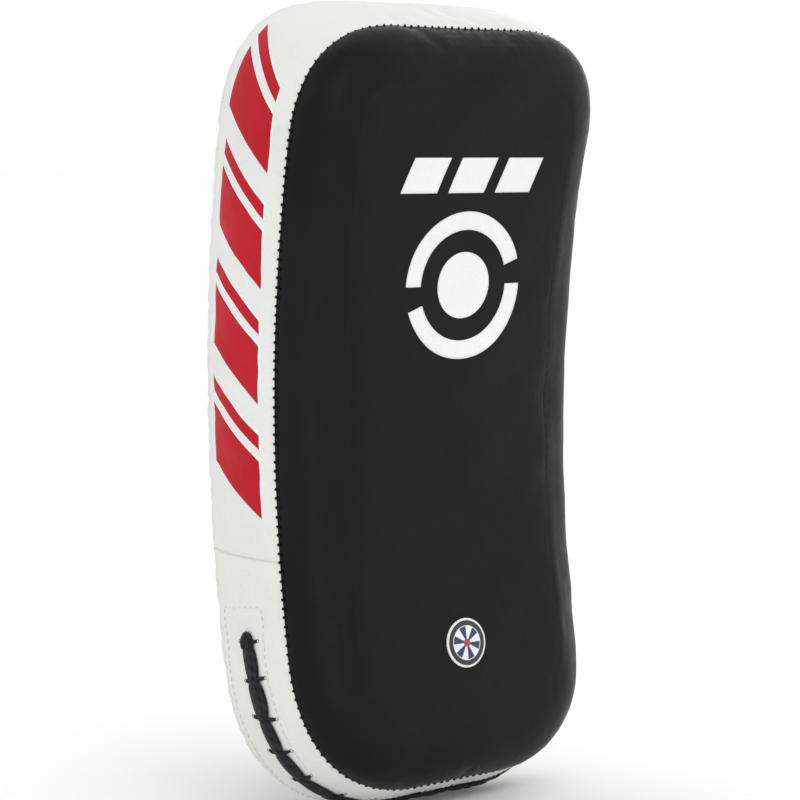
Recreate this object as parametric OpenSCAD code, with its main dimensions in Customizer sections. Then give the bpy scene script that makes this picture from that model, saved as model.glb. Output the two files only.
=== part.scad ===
// Thai pad: a curved strike pad with a laced cover, layered foam, two forearm straps and a grip.
// Millimetres. X runs across the pad, -Y is the strike face, +Y the arm side, +Z up its length.
// The pad stands on its laced bottom edge. Its origin is the middle of its bounding box's base.
// Shapes on the pad are worked out flat, as [across, depth, along], and then bent.

/* [Pad] */
// Length of the pad along its bend
pad_length = 400; // [380:5:420]
// Width of the pad at its top
pad_width = 206; // [196:2:220]
// Thickness from the front seam to the back seam at mid length
pad_thickness = 50; // [46:1:56]
// Height of the strike face above its seam
face_crown = 18; // [14:1:20]
// Width of the rounded shoulder inside the front seam
face_shoulder = 27; // [22:1:30]
// Height of the back panel above its seam
back_crown = 4; // [3:0.5:5]
// Radius of the lengthwise bend, hollow towards the strike face
bend_radius = 820; // [760:10:1000]
// Corner radius at the top
top_corner = 62; // [54:1:70]
// Corner radius at the bottom
bottom_corner = 80; // [70:1:84]
// Share of the width that is lost at the bottom
bottom_taper = 0.04; // [0:0.01:0.06]
// Outward bulge of the side band between its seams
side_bulge = 4; // [2:0.5:5]
// Thickness of the cover leather
skin = 1.4; // [1.2:0.1:1.6]

/* [Lacing] */
// Where the upper and lower side bands meet, along the pad from its middle
cross_seam = -70; // [-80:1:-60]
// Where the laced slit starts, along the pad from its middle
slit_start = -106; // [-112:1:-100]
// Width of the laced slit
slit_width = 5; // [4:0.5:6]
// Diameter of the lace
lace_d = 2.4; // [2:0.2:3]
// Distance of each lace hole from the middle of the slit
lace_reach = 6; // [5:0.5:8]
// Number of lace crossings
lace_pitches = 17; // [13:1:21]

/* [Straps] */
// Width of the strap webbing
strap_w = 50; // [44:1:54]
// Thickness of the strap webbing
strap_t = 2.4; // [2:0.2:2.8]
// Half width of the arch that the forearm goes through
arch_half = 55; // [52:1:58]
// Height of the arch above the back panel
arch_top = 60; // [52:1:66]
// Place of the lower strap, along the pad from its middle
lower_strap_at = -75; // [-80:1:-70]
// Place of the upper strap, along the pad from its middle
upper_strap_at = 25; // [20:1:30]
// Thickness of the steel ring's wire
ring_wire = 4; // [3.5:0.5:4]
// Distance between the ring's two long bars
ring_span = 12.5; // [12:0.5:14]

/* [Grip and cushion] */
// Place of the grip, along the pad from its middle
grip_at = 130; // [124:1:134]
// Height of the grip's middle above the back panel
grip_height = 40; // [38:1:44]
// Diameter of the padded grip
grip_d = 29; // [26:1:31]
// Length of the padded grip
grip_length = 104; // [96:2:108]
// Thickness of the forearm cushion
cushion_t = 12; // [8:1:14]

/* [Hidden] */
STRAPS = ["lower", "upper"];
SIDES = ["left", "right"];
STRAP_PIECES = ["strap", "loop_patch", "tab", "hook_patch", "ring", "ring_anchor", "strap_patch", "ring_patch"];
RIVETS = ["rivet_1", "rivet_2", "rivet_3", "rivet_4"];
$fn = 48;

half_length = pad_length / 2;
half_width = pad_width / 2;
corner_power = 2.5;
gap = 0.4;
seam_gap = 0.1;
film_t = 0.4;
print_rise = 0.3;

// The same at the top block, whose flat cells span the corner of the band
corner_rise = 0.7;
// Height and depth of the pad's middle above the origin
mid_z = 207.1;
mid_y = -15.8;

// ---- Outline of the pad, laid flat, clockwise from the top as seen from the front ----

corner_steps = 14;
upper_steps = 20;
lower_steps = 5;
cross_index = corner_steps + upper_steps;

function mix(a, b, t) = a + (b - a) * t;
function level(s) = s / half_length;
function half_gusset(s) = pad_thickness / 2 * (1 + 0.05 * level(s) + 0.02 * pow(level(s), 2));
function taper(p) = [p.x * (1 - bottom_taper * pow((1 - level(p.y)) / 2, 2)), p.y];
function corner(r, t) = [r * pow(cos(t), 2 / corner_power), r * pow(sin(t), 2 / corner_power)];

top_start = half_length - top_corner;
bottom_start = bottom_corner - half_length;
half_points = concat(
    [for (i = [0:corner_steps]) let (c = corner(top_corner, 90 - 90 * i / corner_steps))
        [half_width - top_corner + c.x, top_start + c.y]],
    [for (i = [1:upper_steps]) [half_width, mix(top_start, cross_seam, i / upper_steps)]],
    [for (i = [1:lower_steps - 1]) [half_width, mix(cross_seam, bottom_start, i / lower_steps)]],
    [for (i = [0:corner_steps]) let (c = corner(bottom_corner, 90 * i / corner_steps))
        [half_width - bottom_corner + c.x, bottom_start - c.y]]
);
half_count = len(half_points);
count = 2 * half_count;
outline = [for (i = [0:count - 1])
    let (p = taper(half_points[i < half_count ? i : count - 1 - i])) i < half_count ? p : [-p.x, p.y]];
normals = [for (i = [0:count - 1])
    let (t = outline[(i + 1) % count] - outline[(i + count - 1) % count]) [-t.y, t.x] / norm(t)];
// Distance along the right-hand half of the outline, from its first point
run = [for (i = 0, a = 0; i < half_count; a = a + norm(outline[i + 1] - outline[i]), i = i + 1) a];
run_end = run[half_count - 1] + outline[half_count - 1].x;
slit_run = lookup(-slit_start, [for (i = [corner_steps:half_count - 1]) [-outline[i].y, run[i]]]);

// A flat point, bent about the centre in front of the strike face
function bend(p) =
    let (turn = p.z / bend_radius * 180 / PI, reach = bend_radius + p.y)
    [p.x, mid_y - bend_radius + reach * cos(turn), mid_z + reach * sin(turn)];

// One loop of flat points around the pad, moved in from the outline, at a share of the half
// thickness (-1 front seam, 1 back seam) plus an extra depth
function ring_at(inset, share, extra = 0) =
    [for (i = [0:count - 1]) let (p = outline[i] - normals[i] * inset)
        [p.x, share * half_gusset(p.y) + extra, p.y]];

// Point on the side band at a distance along the right half of the outline
function edge_flat(along, share, out) =
    let (
        x = lookup(along, concat([for (i = [0:half_count - 1]) [run[i], outline[i].x]], [[run_end, 0]])),
        s = lookup(along, [for (i = [0:half_count - 1]) [run[i], outline[i].y]]),
        nx = lookup(along, concat([for (i = [0:half_count - 1]) [run[i], normals[i].x]], [[run_end, 0]])),
        ns = lookup(along, concat([for (i = [0:half_count - 1]) [run[i], normals[i].y]], [[run_end, -1]])),
        swell = side_bulge * (1 - share * share) + out
    ) [x + nx * swell, share * half_gusset(s), s + ns * swell];

// The same, with distances past the bottom's middle carried on up the left half
function around(along, share, out) =
    along <= run_end
        ? edge_flat(along, share, out)
        : let (p = edge_flat(2 * run_end - along, share, out)) [-p.x, p.y, p.z];

// ---- Builders ----

// Closed solid through loops of flat points, each loop as ring_at makes it
module stack(rings) {
    n = len(rings[0]);
    last = (len(rings) - 1) * n;
    ends = [for (i = [0:n / 2 - 2]) [i, i + 1, n - 2 - i, n - 1 - i]];
    polyhedron(
        points = [for (r = rings) for (p = r) bend(p)],
        faces = concat(
            [for (q = ends) each [[q[0], q[1], q[2]], [q[0], q[2], q[3]]]],
            [for (k = [0:len(rings) - 2]) for (i = [0:n - 1])
                let (j = (i + 1) % n, a = k * n, b = a + n)
                each [[a + i, b + i, b + j], [a + i, b + j, a + j]]],
            [for (q = ends) each [[last + q[2], last + q[1], last + q[0]], [last + q[3], last + q[2], last + q[0]]]]
        )
    );
}

// Closed solid along open sections, each the same closed loop of points in space
module sweep(sections) {
    n = len(sections[0]);
    last = (len(sections) - 1) * n;
    polyhedron(
        points = [for (s = sections) each s],
        faces = concat(
            [[for (i = [0:n - 1]) n - 1 - i]],
            [for (k = [0:len(sections) - 2]) for (i = [0:n - 1])
                let (j = (i + 1) % n, a = k * n, b = a + n)
                each [[a + i, a + j, b + j], [a + i, b + j, b + i]]],
            [[for (i = [0:n - 1]) last + i]]
        )
    );
}

// Side band between two stations of the outline, through a list of shares, sunk below the leather
module side_band(first, last, outer, sink, thick) {
    inner = [for (i = [1:len(outer)]) outer[len(outer) - i]];
    sweep([for (k = [first:last]) let (i = k % count, p = outline[i], m = normals[i]) concat(
        [for (v = outer) let (q = p + m * (side_bulge * (1 - v * v) - sink)) bend([q.x, v * half_gusset(p.y), q.y])],
        [for (v = inner) let (q = p + m * (side_bulge * (1 - v * v) - sink - thick))
            bend([q.x, v * half_gusset(p.y), q.y])]
    )]);
}

// Round tube along points in space, with an outward direction at each
module tube(path, outward, r, sides) {
    sweep([for (i = [0:len(path) - 1])
        let (
            t = path[min(i + 1, len(path) - 1)] - path[max(i - 1, 0)],
            u = cross(t, outward[i]) / norm(cross(t, outward[i])),
            v = cross(u, t) / norm(t)
        ) [for (k = [0:sides - 1]) path[i] + r * (cos(360 * k / sides) * u + sin(360 * k / sides) * v)]]);
}

// Thin film over a grid of rows of lower and upper points in space
module film(lower, upper) {
    m = len(lower[0]);
    n = 2 * m;
    last = (len(lower) - 1) * n;
    ends = [for (i = [0:m - 2]) [i, i + 1, n - 2 - i, n - 1 - i]];
    polyhedron(
        points = [for (k = [0:len(lower) - 1]) each concat(upper[k], [for (i = [1:m]) lower[k][m - i]])],
        faces = concat(
            [for (q = ends) each [[q[2], q[1], q[0]], [q[3], q[2], q[0]]]],
            [for (k = [0:len(lower) - 2]) for (i = [0:n - 1])
                let (j = (i + 1) % n, a = k * n, b = a + n)
                each [[a + i, a + j, b + j], [a + i, b + j, b + i]]],
            [for (q = ends) each [[last + q[0], last + q[1], last + q[2]], [last + q[0], last + q[2], last + q[3]]]]
        )
    );
}

// Frame on the back panel: X across, Y out of the panel, Z along the pad
function back_depth(s) = half_gusset(s) + back_crown;
module on_back(s) {
    slope = atan((back_depth(s + 1) - back_depth(s - 1)) / 2);
    translate(bend([0, back_depth(s), s]))
        rotate([s / bend_radius * 180 / PI - slope, 0, 0])
            children();
}

// Plate with rounded corners lying on the back: centre at x, from height y, size w by l
module plate(x, y, w, l, t, r) {
    translate([x, y + t, 0])
        rotate([90, 0, 0])
            linear_extrude(t)
                union() {
                    square([w, l - 2 * r], center = true);
                    square([w - 2 * r, l], center = true);
                    for (i = [-1, 1]) for (j = [-1, 1])
                        translate([i * (w / 2 - r), j * (l / 2 - r)])
                            circle(r);
                }
}

// ---- Cover ----

front_arc = [for (i = [0:6]) 90 - 15 * i];

function face_ring(a, cut) = ring_at(
    face_shoulder - (face_shoulder - cut) * cos(a), -1, -(face_crown - cut) * sin(a) - seam_gap);

module front_cover() {
    color([0.13, 0.13, 0.14])
        stack(concat(
            [for (a = front_arc) face_ring(a, 0)],
            [for (i = [0:3]) face_ring(30 * i, skin)]
        ));
}

back_shoulder = 14;

function back_ring(a, cut) = ring_at(
    back_shoulder - (back_shoulder - cut) * cos(a), 1, (back_crown - cut) * sin(a) + seam_gap);

module back_cover() {
    color([0.15, 0.15, 0.16])
        stack(concat(
            [for (i = [0:2]) back_ring(90 - 45 * i, skin)],
            [for (i = [0:3]) back_ring(30 * i, 0)]
        ));
}

module upper_gusset() {
    color([0.9, 0.9, 0.88])
        side_band(count - 1 - cross_index, count + cross_index, [-1, -0.5, 0, 0.5, 1], 0, skin);
}

// Share of the half thickness that reaches half the slit
slit_share = slit_width / pad_thickness;
slit_first = [for (i = [cross_index:half_count - 1]) if (outline[i].y < slit_start + 4) i][0];

// Point of the lower band's skin: outer face at depth 0, inner face at depth skin
function band_point(i, v, depth) =
    let (q = outline[i] + normals[i] * (side_bulge * (1 - v * v) - depth))
    bend([q.x, v * half_gusset(outline[i].y), q.y]);

// Lower side band, one strip with a slit that stops short of the cross seam at both ends
module lower_gusset() {
    levels = [-1, -facing_edge, -slit_share, slit_share, facing_edge, 1];
    w = len(levels);
    slit_cell = 2;
    stations = [cross_index:count - 1 - cross_index];
    n = count - 2 * cross_index;
    a = slit_first - cross_index;
    b = n - 1 - a;
    outer = [for (k = [0:n - 1]) [for (j = [0:w - 1]) 2 * k * w + j]];
    inner = [for (k = [0:n - 1]) [for (j = [0:w - 1]) 2 * k * w + w + j]];
    front_wall = function (k, j) [inner[k][j], outer[k][j], outer[k + 1][j], inner[k + 1][j]];
    back_wall = function (k, j) [outer[k][j], inner[k][j], inner[k + 1][j], outer[k + 1][j]];
    start_wall = function (k, j) [inner[k][j], inner[k][j + 1], outer[k][j + 1], outer[k][j]];
    end_wall = function (k, j) [outer[k][j], outer[k][j + 1], inner[k][j + 1], inner[k][j]];
    quads = concat(
        [for (k = [0:n - 2]) for (j = [0:w - 2]) if (j != slit_cell || k < a || k >= b)
            each [[outer[k][j], outer[k][j + 1], outer[k + 1][j + 1], outer[k + 1][j]],
                [inner[k][j], inner[k + 1][j], inner[k + 1][j + 1], inner[k][j + 1]]]],
        [for (k = [0:n - 2]) each [front_wall(k, 0), back_wall(k, w - 1)]],
        [for (k = [a:b - 1]) each [back_wall(k, slit_cell), front_wall(k, slit_cell + 1)]],
        [for (j = [0:w - 2]) each [start_wall(0, j), end_wall(n - 1, j)]],
        [end_wall(a, slit_cell), start_wall(b, slit_cell)]
    );
    color([0.9, 0.9, 0.88])
        polyhedron(
            points = [for (i = stations) for (depth = [0, skin]) for (v = levels) band_point(i, v, depth)],
            faces = [for (q = quads) each [[q[0], q[1], q[2]], [q[0], q[2], q[3]]]]
        );
}

facing_t = 1;
facing_edge = 0.5;
tongue_t = 1.2;
facing_first = cross_index + 2;

// Stiff strips inside the band along both edges of the slit
module lacing_facing() {
    color([0.85, 0.85, 0.83])
        for (e = [-1, 1])
            side_band(
                facing_first, count - 1 - facing_first,
                e > 0 ? [slit_share, facing_edge] : [-facing_edge, -slit_share], skin + seam_gap, facing_t
            );
}

module lacing_tongue() {
    color([0.12, 0.12, 0.13])
        side_band(
            facing_first, count - 1 - facing_first, [-facing_edge, -slit_share, slit_share, facing_edge],
            skin + facing_t + 2 * seam_gap, tongue_t
        );
}

// ---- Inside ----

foam_inset = skin + facing_t + tongue_t + 1;
foam_gap = 0.5;

module strike_foam() {
    cut = skin + foam_gap;
    color([0.35, 0.36, 0.4])
        stack(concat(
            [for (i = [0:3]) face_ring(90 - 22.5 * i, cut + 2.5)],
            [ring_at(foam_inset, -1, 0), ring_at(foam_inset, -0.5, 0)]
        ));
}

module core_foam() {
    color([0.55, 0.56, 0.58])
        stack([ring_at(foam_inset, -0.5, foam_gap), ring_at(foam_inset, 0.45, 0)]);
}

module support_foam() {
    color([0.4, 0.5, 0.6])
        stack([ring_at(foam_inset, 0.45, foam_gap), ring_at(foam_inset, 0.9, 0)]);
}

board_t = 2.5;
module stiffener_board() {
    color([0.7, 0.55, 0.35])
        stack([ring_at(back_shoulder, 0.9, foam_gap), ring_at(back_shoulder, 0.9, foam_gap + board_t)]);
}

// Closed cushion under the forearm, laid on the back panel between the strap ends
module forearm_cushion() {
    half_w = 45;
    middle = -18;
    half_l = 96;
    r = 20;
    steps = 6;
    side = 12;
    half = concat(
        [for (i = [0:steps]) let (a = 90 - 90 * i / steps) [half_w - r + r * cos(a), half_l - r + r * sin(a)]],
        [for (i = [1:side - 1]) [half_w, mix(half_l - r, r - half_l, i / side)]],
        [for (i = [0:steps]) let (a = 90 * i / steps) [half_w - r + r * cos(a), r - half_l - r * sin(a)]]
    );
    loop = concat(half, [for (i = [1:len(half)]) let (p = half[len(half) - i]) [-p.x, p.y]]);
    levels = [[0.94, 0], [1, 0.3], [1, 0.6], [0.95, 0.88], [0.86, 1]];
    color([0.17, 0.17, 0.18])
        stack([for (v = levels) [for (p = loop)
            let (x = p.x - sign(p.x) * half_w * (1 - v[0]), s = middle + p.y * (1 - (1 - v[0]) * half_w / half_l))
            [x, back_depth(s) + gap + v[1] * cushion_t, s]]]);
}

// ---- Lace ----

lace_length = 2 * (run_end - slit_run);
lace_rise = lace_d / 2 + 0.15;
lace_steps = 5;

// Flat point of one strand: it swings from hole to hole, over the other strand every second time
function lace_flat(along, way) =
    let (
        turn = 180 * along / lace_length * lace_pitches,
        over = max(0, way * sin(turn)),
        p = around(slit_run + along, 0, 0),
        share = way * cos(turn) * lace_reach / half_gusset(p.z)
    ) around(slit_run + along, share, lace_rise + (lace_d + 0.15) * over * over);

module lace_strand(way) {
    rings = lace_steps * lace_pitches;
    places = [for (i = [0:rings]) lace_length * i / rings];
    path = [for (a = places) bend(lace_flat(a, way))];
    outward = [for (a = places) bend(around(slit_run + a, 0, 10)) - bend(around(slit_run + a, 0, 0))];
    color([0.08, 0.08, 0.09])
        tube(path, outward, lace_d / 2, 8);
}

module lace_knot(way) {
    at = bend(around(slit_run - 5, 0, 2.6));
    color([0.08, 0.08, 0.09])
        translate([way * at.x, at.y, at.z])
            sphere(2.4);
}

// ---- Straps, each drawn in the frame of the back panel ----

strap_y = gap + strap_t / 2;
foot_r = 5;
ring_r = ring_wire / 2;
ring_x = arch_half + 4.6;
ring_y = 4.2;
bar_y = ring_y + ring_span;
turn_r = 4.6;
arch_power = 2.5;
patch_l = 56;
loop_t = 1.4;

// Quarter of the arch, from its foot (0) to its top (90)
function arch(t, low) = [
    arch_half * pow(cos(t), 2 / arch_power),
    low + (arch_top - low) * pow(sin(t), 2 / arch_power)
];

strap_path = concat(
    [[-88, strap_y]],
    [for (a = [-90:30:-30]) [-arch_half - foot_r + foot_r * cos(a), strap_y + foot_r + foot_r * sin(a)]],
    [for (t = [0:6:90]) let (p = arch(t, strap_y + foot_r)) [-p.x, p.y]],
    [for (t = [84:-6:0]) arch(t, bar_y)],
    [for (a = [204:24:348]) [ring_x + turn_r * cos(a), bar_y + turn_r * sin(a)]],
    [[ring_x + turn_r, bar_y]]
);

// Flat ribbon in the XY plane: path, offset of its middle to the left of travel, thickness
function path_normal(path, i) =
    let (t = path[min(i + 1, len(path) - 1)] - path[max(i - 1, 0)]) [-t.y, t.x] / norm(t);
module ribbon(path, off, thick, wide) {
    edge = [for (i = [0:len(path) - 1]) path[i] + path_normal(path, i) * (off + thick / 2)];
    back = [for (i = [1:len(path)]) let (k = len(path) - i) path[k] + path_normal(path, k) * (off - thick / 2)];
    translate([0, 0, -wide / 2])
        linear_extrude(wide)
            polygon(concat(edge, back));
}

strap_rows = [-15, 15];
module strap(s) {
    color([0.14, 0.14, 0.15])
        on_back(s)
            difference() {
                ribbon(strap_path, 0, strap_t, strap_w);
                for (z = strap_rows)
                    translate([-75, 0, z])
                        rotate([-90, 0, 0])
                            cylinder(r = rivet_r, h = 10);
            }
}

// Part of the arch's right quarter that the flap covers, from its foot up
flap_path = [for (t = [0:6:72]) arch(t, bar_y)];
function flap_offset(t) = -(strap_t / 2 + loop_t + gap + loop_t + strap_t / 2)
    - (turn_r * 2 - strap_t - 2 * loop_t - gap) * pow(max(0, 1 - t / 40), 2);

module loop_patch(s) {
    color([0.22, 0.22, 0.23])
        on_back(s)
            ribbon([for (t = [84:-6:30]) arch(t, bar_y)], strap_t / 2 + loop_t / 2 + seam_gap, loop_t, strap_w - 6);
}

// Middle line of the flap, from the hinge upwards
tab_path = [for (i = [0:len(flap_path) - 1]) let (t = 6 * i)
    flap_path[i] + path_normal(flap_path, i) * flap_offset(t)];
hinge_x = ring_x + turn_r + strap_t / 2;
hinge_y = bar_y + 2 * gap;

module tab(s) {
    path = concat([for (y = [0, 3]) [ring_x + turn_r, hinge_y + y]], [for (i = [2:len(tab_path) - 1]) tab_path[i]]);
    color([0.14, 0.14, 0.15])
        on_back(s)
            ribbon(path, 0, strap_t, strap_w);
}

module hook_patch(s) {
    path = [for (i = [5:len(tab_path) - 1]) tab_path[i]];
    color([0.3, 0.3, 0.31])
        on_back(s)
            ribbon(path, strap_t / 2 + loop_t / 2, loop_t, strap_w - 6);
}

// Steel loop of round wire: two long bars and two short ones, with round corners
module ring(s) {
    bend_r = 4;
    long = strap_w + 6 - 2 * bend_r;
    short = ring_span - 2 * bend_r;
    color([0.75, 0.76, 0.78])
        on_back(s)
            translate([ring_x, ring_y + ring_span / 2, 0])
                union() {
                    for (i = [-1, 1]) {
                        translate([0, i * ring_span / 2, -long / 2])
                            cylinder(r = ring_r, h = long);
                        translate([0, -short / 2, i * (long / 2 + bend_r)])
                            rotate([-90, 0, 0])
                                cylinder(r = ring_r, h = short);
                        for (j = [-1, 1])
                            translate([0, j * short / 2, i * long / 2])
                                rotate([0, -90, 0])
                                    rotate(i > 0 ? (j > 0 ? 0 : 270) : (j > 0 ? 90 : 180))
                                        rotate_extrude(angle = 90)
                                            translate([bend_r, 0])
                                                circle(ring_r);
                    }
                }
}

anchor_t = 2.8;
module ring_anchor(s) {
    outer = ring_y - 0.5;
    color([0.14, 0.14, 0.15])
        on_back(s)
            difference() {
                translate([0, 0, -23])
                    linear_extrude(46)
                        union() {
                            translate([ring_x, ring_y])
                                circle(outer);
                            translate([ring_x, 0.5])
                                square([88 - ring_x, anchor_t]);
                        }
                translate([ring_x, ring_y, -30])
                    cylinder(r = ring_r + 0.08, h = 60);
                for (z = strap_rows)
                    translate([75, 0, z])
                        rotate([-90, 0, 0])
                            cylinder(r = rivet_r, h = 10);
            }
}

patch_t = 1.8;
strap_patch_y = strap_y + strap_t / 2;
ring_patch_y = 0.5 + anchor_t;

module holed_patch(s, x, y, w, l, rows) {
    color([0.2, 0.2, 0.21])
        on_back(s)
            difference() {
                plate(x, y, w, l, patch_t, 3);
                for (z = rows)
                    translate([x, 0, z])
                        rotate([-90, 0, 0])
                            cylinder(r = rivet_r, h = 20);
            }
}

module strap_patch(s) { holed_patch(s, -75, strap_patch_y, 25, patch_l, strap_rows); }
module ring_patch(s) { holed_patch(s, 75, ring_patch_y, 21, patch_l, strap_rows); }

// Domed rivet through a patch, its shank reaching down to the back panel
rivet_r = 1.6;
module rivet(s, x, z, y) {
    head_r = 4;
    color([0.78, 0.79, 0.8])
        on_back(s)
            translate([x, 0, z])
                rotate([-90, 0, 0])
                    union() {
                        translate([0, 0, gap])
                            cylinder(r = rivet_r, h = y - gap);
                        translate([0, 0, y])
                            cylinder(r = head_r, h = 0.6);
                        translate([0, 0, y + 0.6])
                            cylinder(r1 = head_r, r2 = 2.2, h = 1);
                    }
}

// Rivets 1 and 2 hold the strap's sewn end, 3 and 4 the ring's
module strap_rivet(s, k) {
    left = k < 3;
    rivet(s, left ? -75 : 75, strap_rows[(k - 1) % 2], (left ? strap_patch_y : ring_patch_y) + patch_t);
}

// ---- Grip ----

core_r = 6;
lug_t = 4;
lug_r = 12.5;
lug_y = lug_r + 0.6;
lug_x = grip_length / 2 + lug_t / 2;
flange_t = 2.4;
grip_rows = [-9, 9];

module along_x(x, y, r, length) {
    translate([x - length / 2, y, 0])
        rotate([0, 90, 0])
            cylinder(r = r, h = length);
}

module grip_core() {
    color([0.72, 0.55, 0.36])
        on_back(grip_at)
            along_x(0, grip_height, core_r, grip_length + 2 * lug_t);
}

module grip_sleeve() {
    color([0.16, 0.16, 0.17])
        on_back(grip_at)
            difference() {
                along_x(0, grip_height, grip_d / 2, grip_length);
                along_x(0, grip_height, core_r, grip_length + 10);
            }
}

// Leather strap end from the grip down to its sewn foot, with a round end that rocks there
module grip_lug(way) {
    color([0.16, 0.16, 0.17])
        on_back(grip_at)
            difference() {
                union() {
                    along_x(way * lug_x, lug_y, lug_r, lug_t);
                    along_x(way * lug_x, grip_height, lug_r, lug_t);
                    translate([way * lug_x - lug_t / 2, lug_y, -lug_r])
                        cube([lug_t, grip_height - lug_y, 2 * lug_r]);
                }
                along_x(way * lug_x, grip_height, core_r, lug_t + 10);
            }
}

// Angled leather patch: a riveted foot on the back panel and a flange beside the strap end
module grip_patch(way) {
    near = lug_x + lug_t / 2 + gap;
    color([0.2, 0.2, 0.21])
        on_back(grip_at)
            difference() {
                union() {
                    plate(way * (near + 13), gap, 26, 34, flange_t, 3);
                    translate([way > 0 ? near : -near - flange_t, gap, -lug_r])
                        cube([flange_t, 20, 2 * lug_r]);
                }
                for (z = grip_rows)
                    translate([way * (near + 16), 0, z])
                        rotate([-90, 0, 0])
                            cylinder(r = rivet_r, h = 10);
            }
}

module grip_rivet(k) {
    near = lug_x + lug_t / 2 + gap;
    rivet(grip_at, (k < 3 ? -1 : 1) * (near + 16), grip_rows[(k - 1) % 2], gap + flange_t);
}

// ---- Films and badge on the cover ----

function on_face(x, s, out) = bend([x, -half_gusset(s) - face_crown - seam_gap - out, s]);

// Rows of points on the strike face between two edges given as lists of [x, s]
module face_film(low_edge, high_edge, cells) {
    rows = [for (k = [0:len(low_edge) - 1]) [for (i = [0:cells]) mix(low_edge[k], high_edge[k], i / cells)]];
    film(
        [for (r = rows) [for (p = r) on_face(p.x, p.y, 0.06)]],
        [for (r = rows) [for (p = r) on_face(p.x, p.y, film_t)]]
    );
}

// Three slanted bars above the target
module face_stripes() {
    color([0.95, 0.95, 0.95])
        for (i = [-1:1]) {
            mid = 5 + i * 33;
            low = [for (k = [0:4]) mix([mid - 17, 116], [mid - 9, 135], k / 4)];
            face_film([for (p = low) p + [25, 0]], low, 1);
        }
}

target = [4, 66];
function polar(r, a) = target + r * [cos(a), sin(a)];
module face_target() {
    color([0.95, 0.95, 0.95]) {
        for (a = [20, 200])
            face_film([for (k = [0:16]) polar(40, a + 10 * k)], [for (k = [0:16]) polar(30, a + 10 * k)], 1);
        face_disc(target, 18, 0.06, film_t, 24);
    }
}

// Thin round plate that follows the strike face
module face_disc(at, r, low, high, sides) {
    half = [for (i = [0:sides / 2 - 1]) let (a = 90 - 360 * (i + 0.5) / sides) at + r * [cos(a), sin(a)]];
    loop = concat(half, [for (i = [1:len(half)]) let (p = half[len(half) - i]) [2 * at.x - p.x, p.y]]);
    stack([for (out = [high, low]) [for (p = loop)
        [p.x, -half_gusset(p.y) - face_crown - seam_gap - out, p.y]]]);
}

badge_at = [1, -128];
module round_badge() {
    color([0.9, 0.9, 0.92])
        face_disc(badge_at, 13.4, 0.06, 0.9, 40);
}

// Four slanted blocks up each side band
module side_print(way) {
    middle = lookup(0, [for (i = [1:half_count - 1]) [-outline[i].y, run[i]]]);
    color([0.75, 0.13, 0.18])
        for (k = [0:3]) {
            low = middle + 38 - 58 * k;
            rise = k == 3 ? corner_rise : print_rise;
            rows = [for (i = [6:-1:0]) [for (v = [-0.66:0.33:0.66]) [low - 42 * i / 6 - 14 * v, v]]];
            mirror([way > 0 ? 0 : 1, 0, 0])
                film(
                    [for (r = rows) [for (q = r) bend(edge_flat(q.x, q.y, rise))]],
                    [for (r = rows) [for (q = r) bend(edge_flat(q.x, q.y, rise + film_t))]]
                );
        }
}

// ---- Nodes ----

module strap_piece(place, piece) {
    s = place == "lower" ? lower_strap_at : upper_strap_at;
    if (piece == "strap") strap(s);
    if (piece == "loop_patch") loop_patch(s);
    if (piece == "tab") tab(s);
    if (piece == "hook_patch") hook_patch(s);
    if (piece == "ring") ring(s);
    if (piece == "ring_anchor") ring_anchor(s);
    if (piece == "strap_patch") strap_patch(s);
    if (piece == "ring_patch") ring_patch(s);
    for (k = [1:4])
        if (piece == RIVETS[k - 1]) strap_rivet(s, k);
}

front_cover();
upper_gusset();
lower_gusset();
lacing_facing();
lacing_tongue();
back_cover();
strike_foam();
core_foam();
support_foam();
stiffener_board();
forearm_cushion();
lace_strand(1);  // lace_strand_a
lace_strand(-1);  // lace_strand_b
lace_knot(-1);  // lace_knot_left
lace_knot(1);  // lace_knot_right
for (place = STRAPS) for (piece = concat(STRAP_PIECES, RIVETS))
    strap_piece(place, piece);
grip_core();
grip_sleeve();
grip_lug(-1);  // grip_lug_left
grip_lug(1);  // grip_lug_right
grip_patch(-1);  // grip_patch_left
grip_patch(1);  // grip_patch_right
for (k = [1:4])
    grip_rivet(k);
face_stripes();
face_target();
round_badge();
side_print(-1);  // side_print_left
side_print(1);  // side_print_right
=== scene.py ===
"""Thai pad: the visible model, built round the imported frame. Flat shapes are in millimetres, then bent."""
import math
import bmesh
import bpy
import numpy as np
from mathutils import Matrix, Vector
from mathutils.bvhtree import BVHTree
from mathutils.kdtree import KDTree


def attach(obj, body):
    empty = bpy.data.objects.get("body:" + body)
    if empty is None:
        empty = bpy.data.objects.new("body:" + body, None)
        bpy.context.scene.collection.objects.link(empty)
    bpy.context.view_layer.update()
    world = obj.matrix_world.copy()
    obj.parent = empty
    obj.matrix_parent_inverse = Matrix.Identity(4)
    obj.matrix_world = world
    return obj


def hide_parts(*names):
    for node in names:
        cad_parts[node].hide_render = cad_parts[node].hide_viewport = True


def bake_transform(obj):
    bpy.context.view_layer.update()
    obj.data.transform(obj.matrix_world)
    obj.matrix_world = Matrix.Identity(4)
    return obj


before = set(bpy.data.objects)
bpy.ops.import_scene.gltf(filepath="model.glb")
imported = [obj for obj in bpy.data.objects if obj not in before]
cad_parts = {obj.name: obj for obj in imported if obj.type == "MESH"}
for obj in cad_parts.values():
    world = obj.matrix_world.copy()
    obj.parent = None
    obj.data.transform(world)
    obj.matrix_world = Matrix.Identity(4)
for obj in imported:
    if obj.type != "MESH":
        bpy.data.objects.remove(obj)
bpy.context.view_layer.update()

# ---- Driving dimensions, in millimetres ----
MM = 0.001
LENGTH, WIDTH, THICK = 400.0, 206.0, 50.0
CROWN, SHOULDER = 18.0, 27.0
BACK_CROWN, BACK_SHOULDER = 4.0, 14.0
BEND = 820.0
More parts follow.
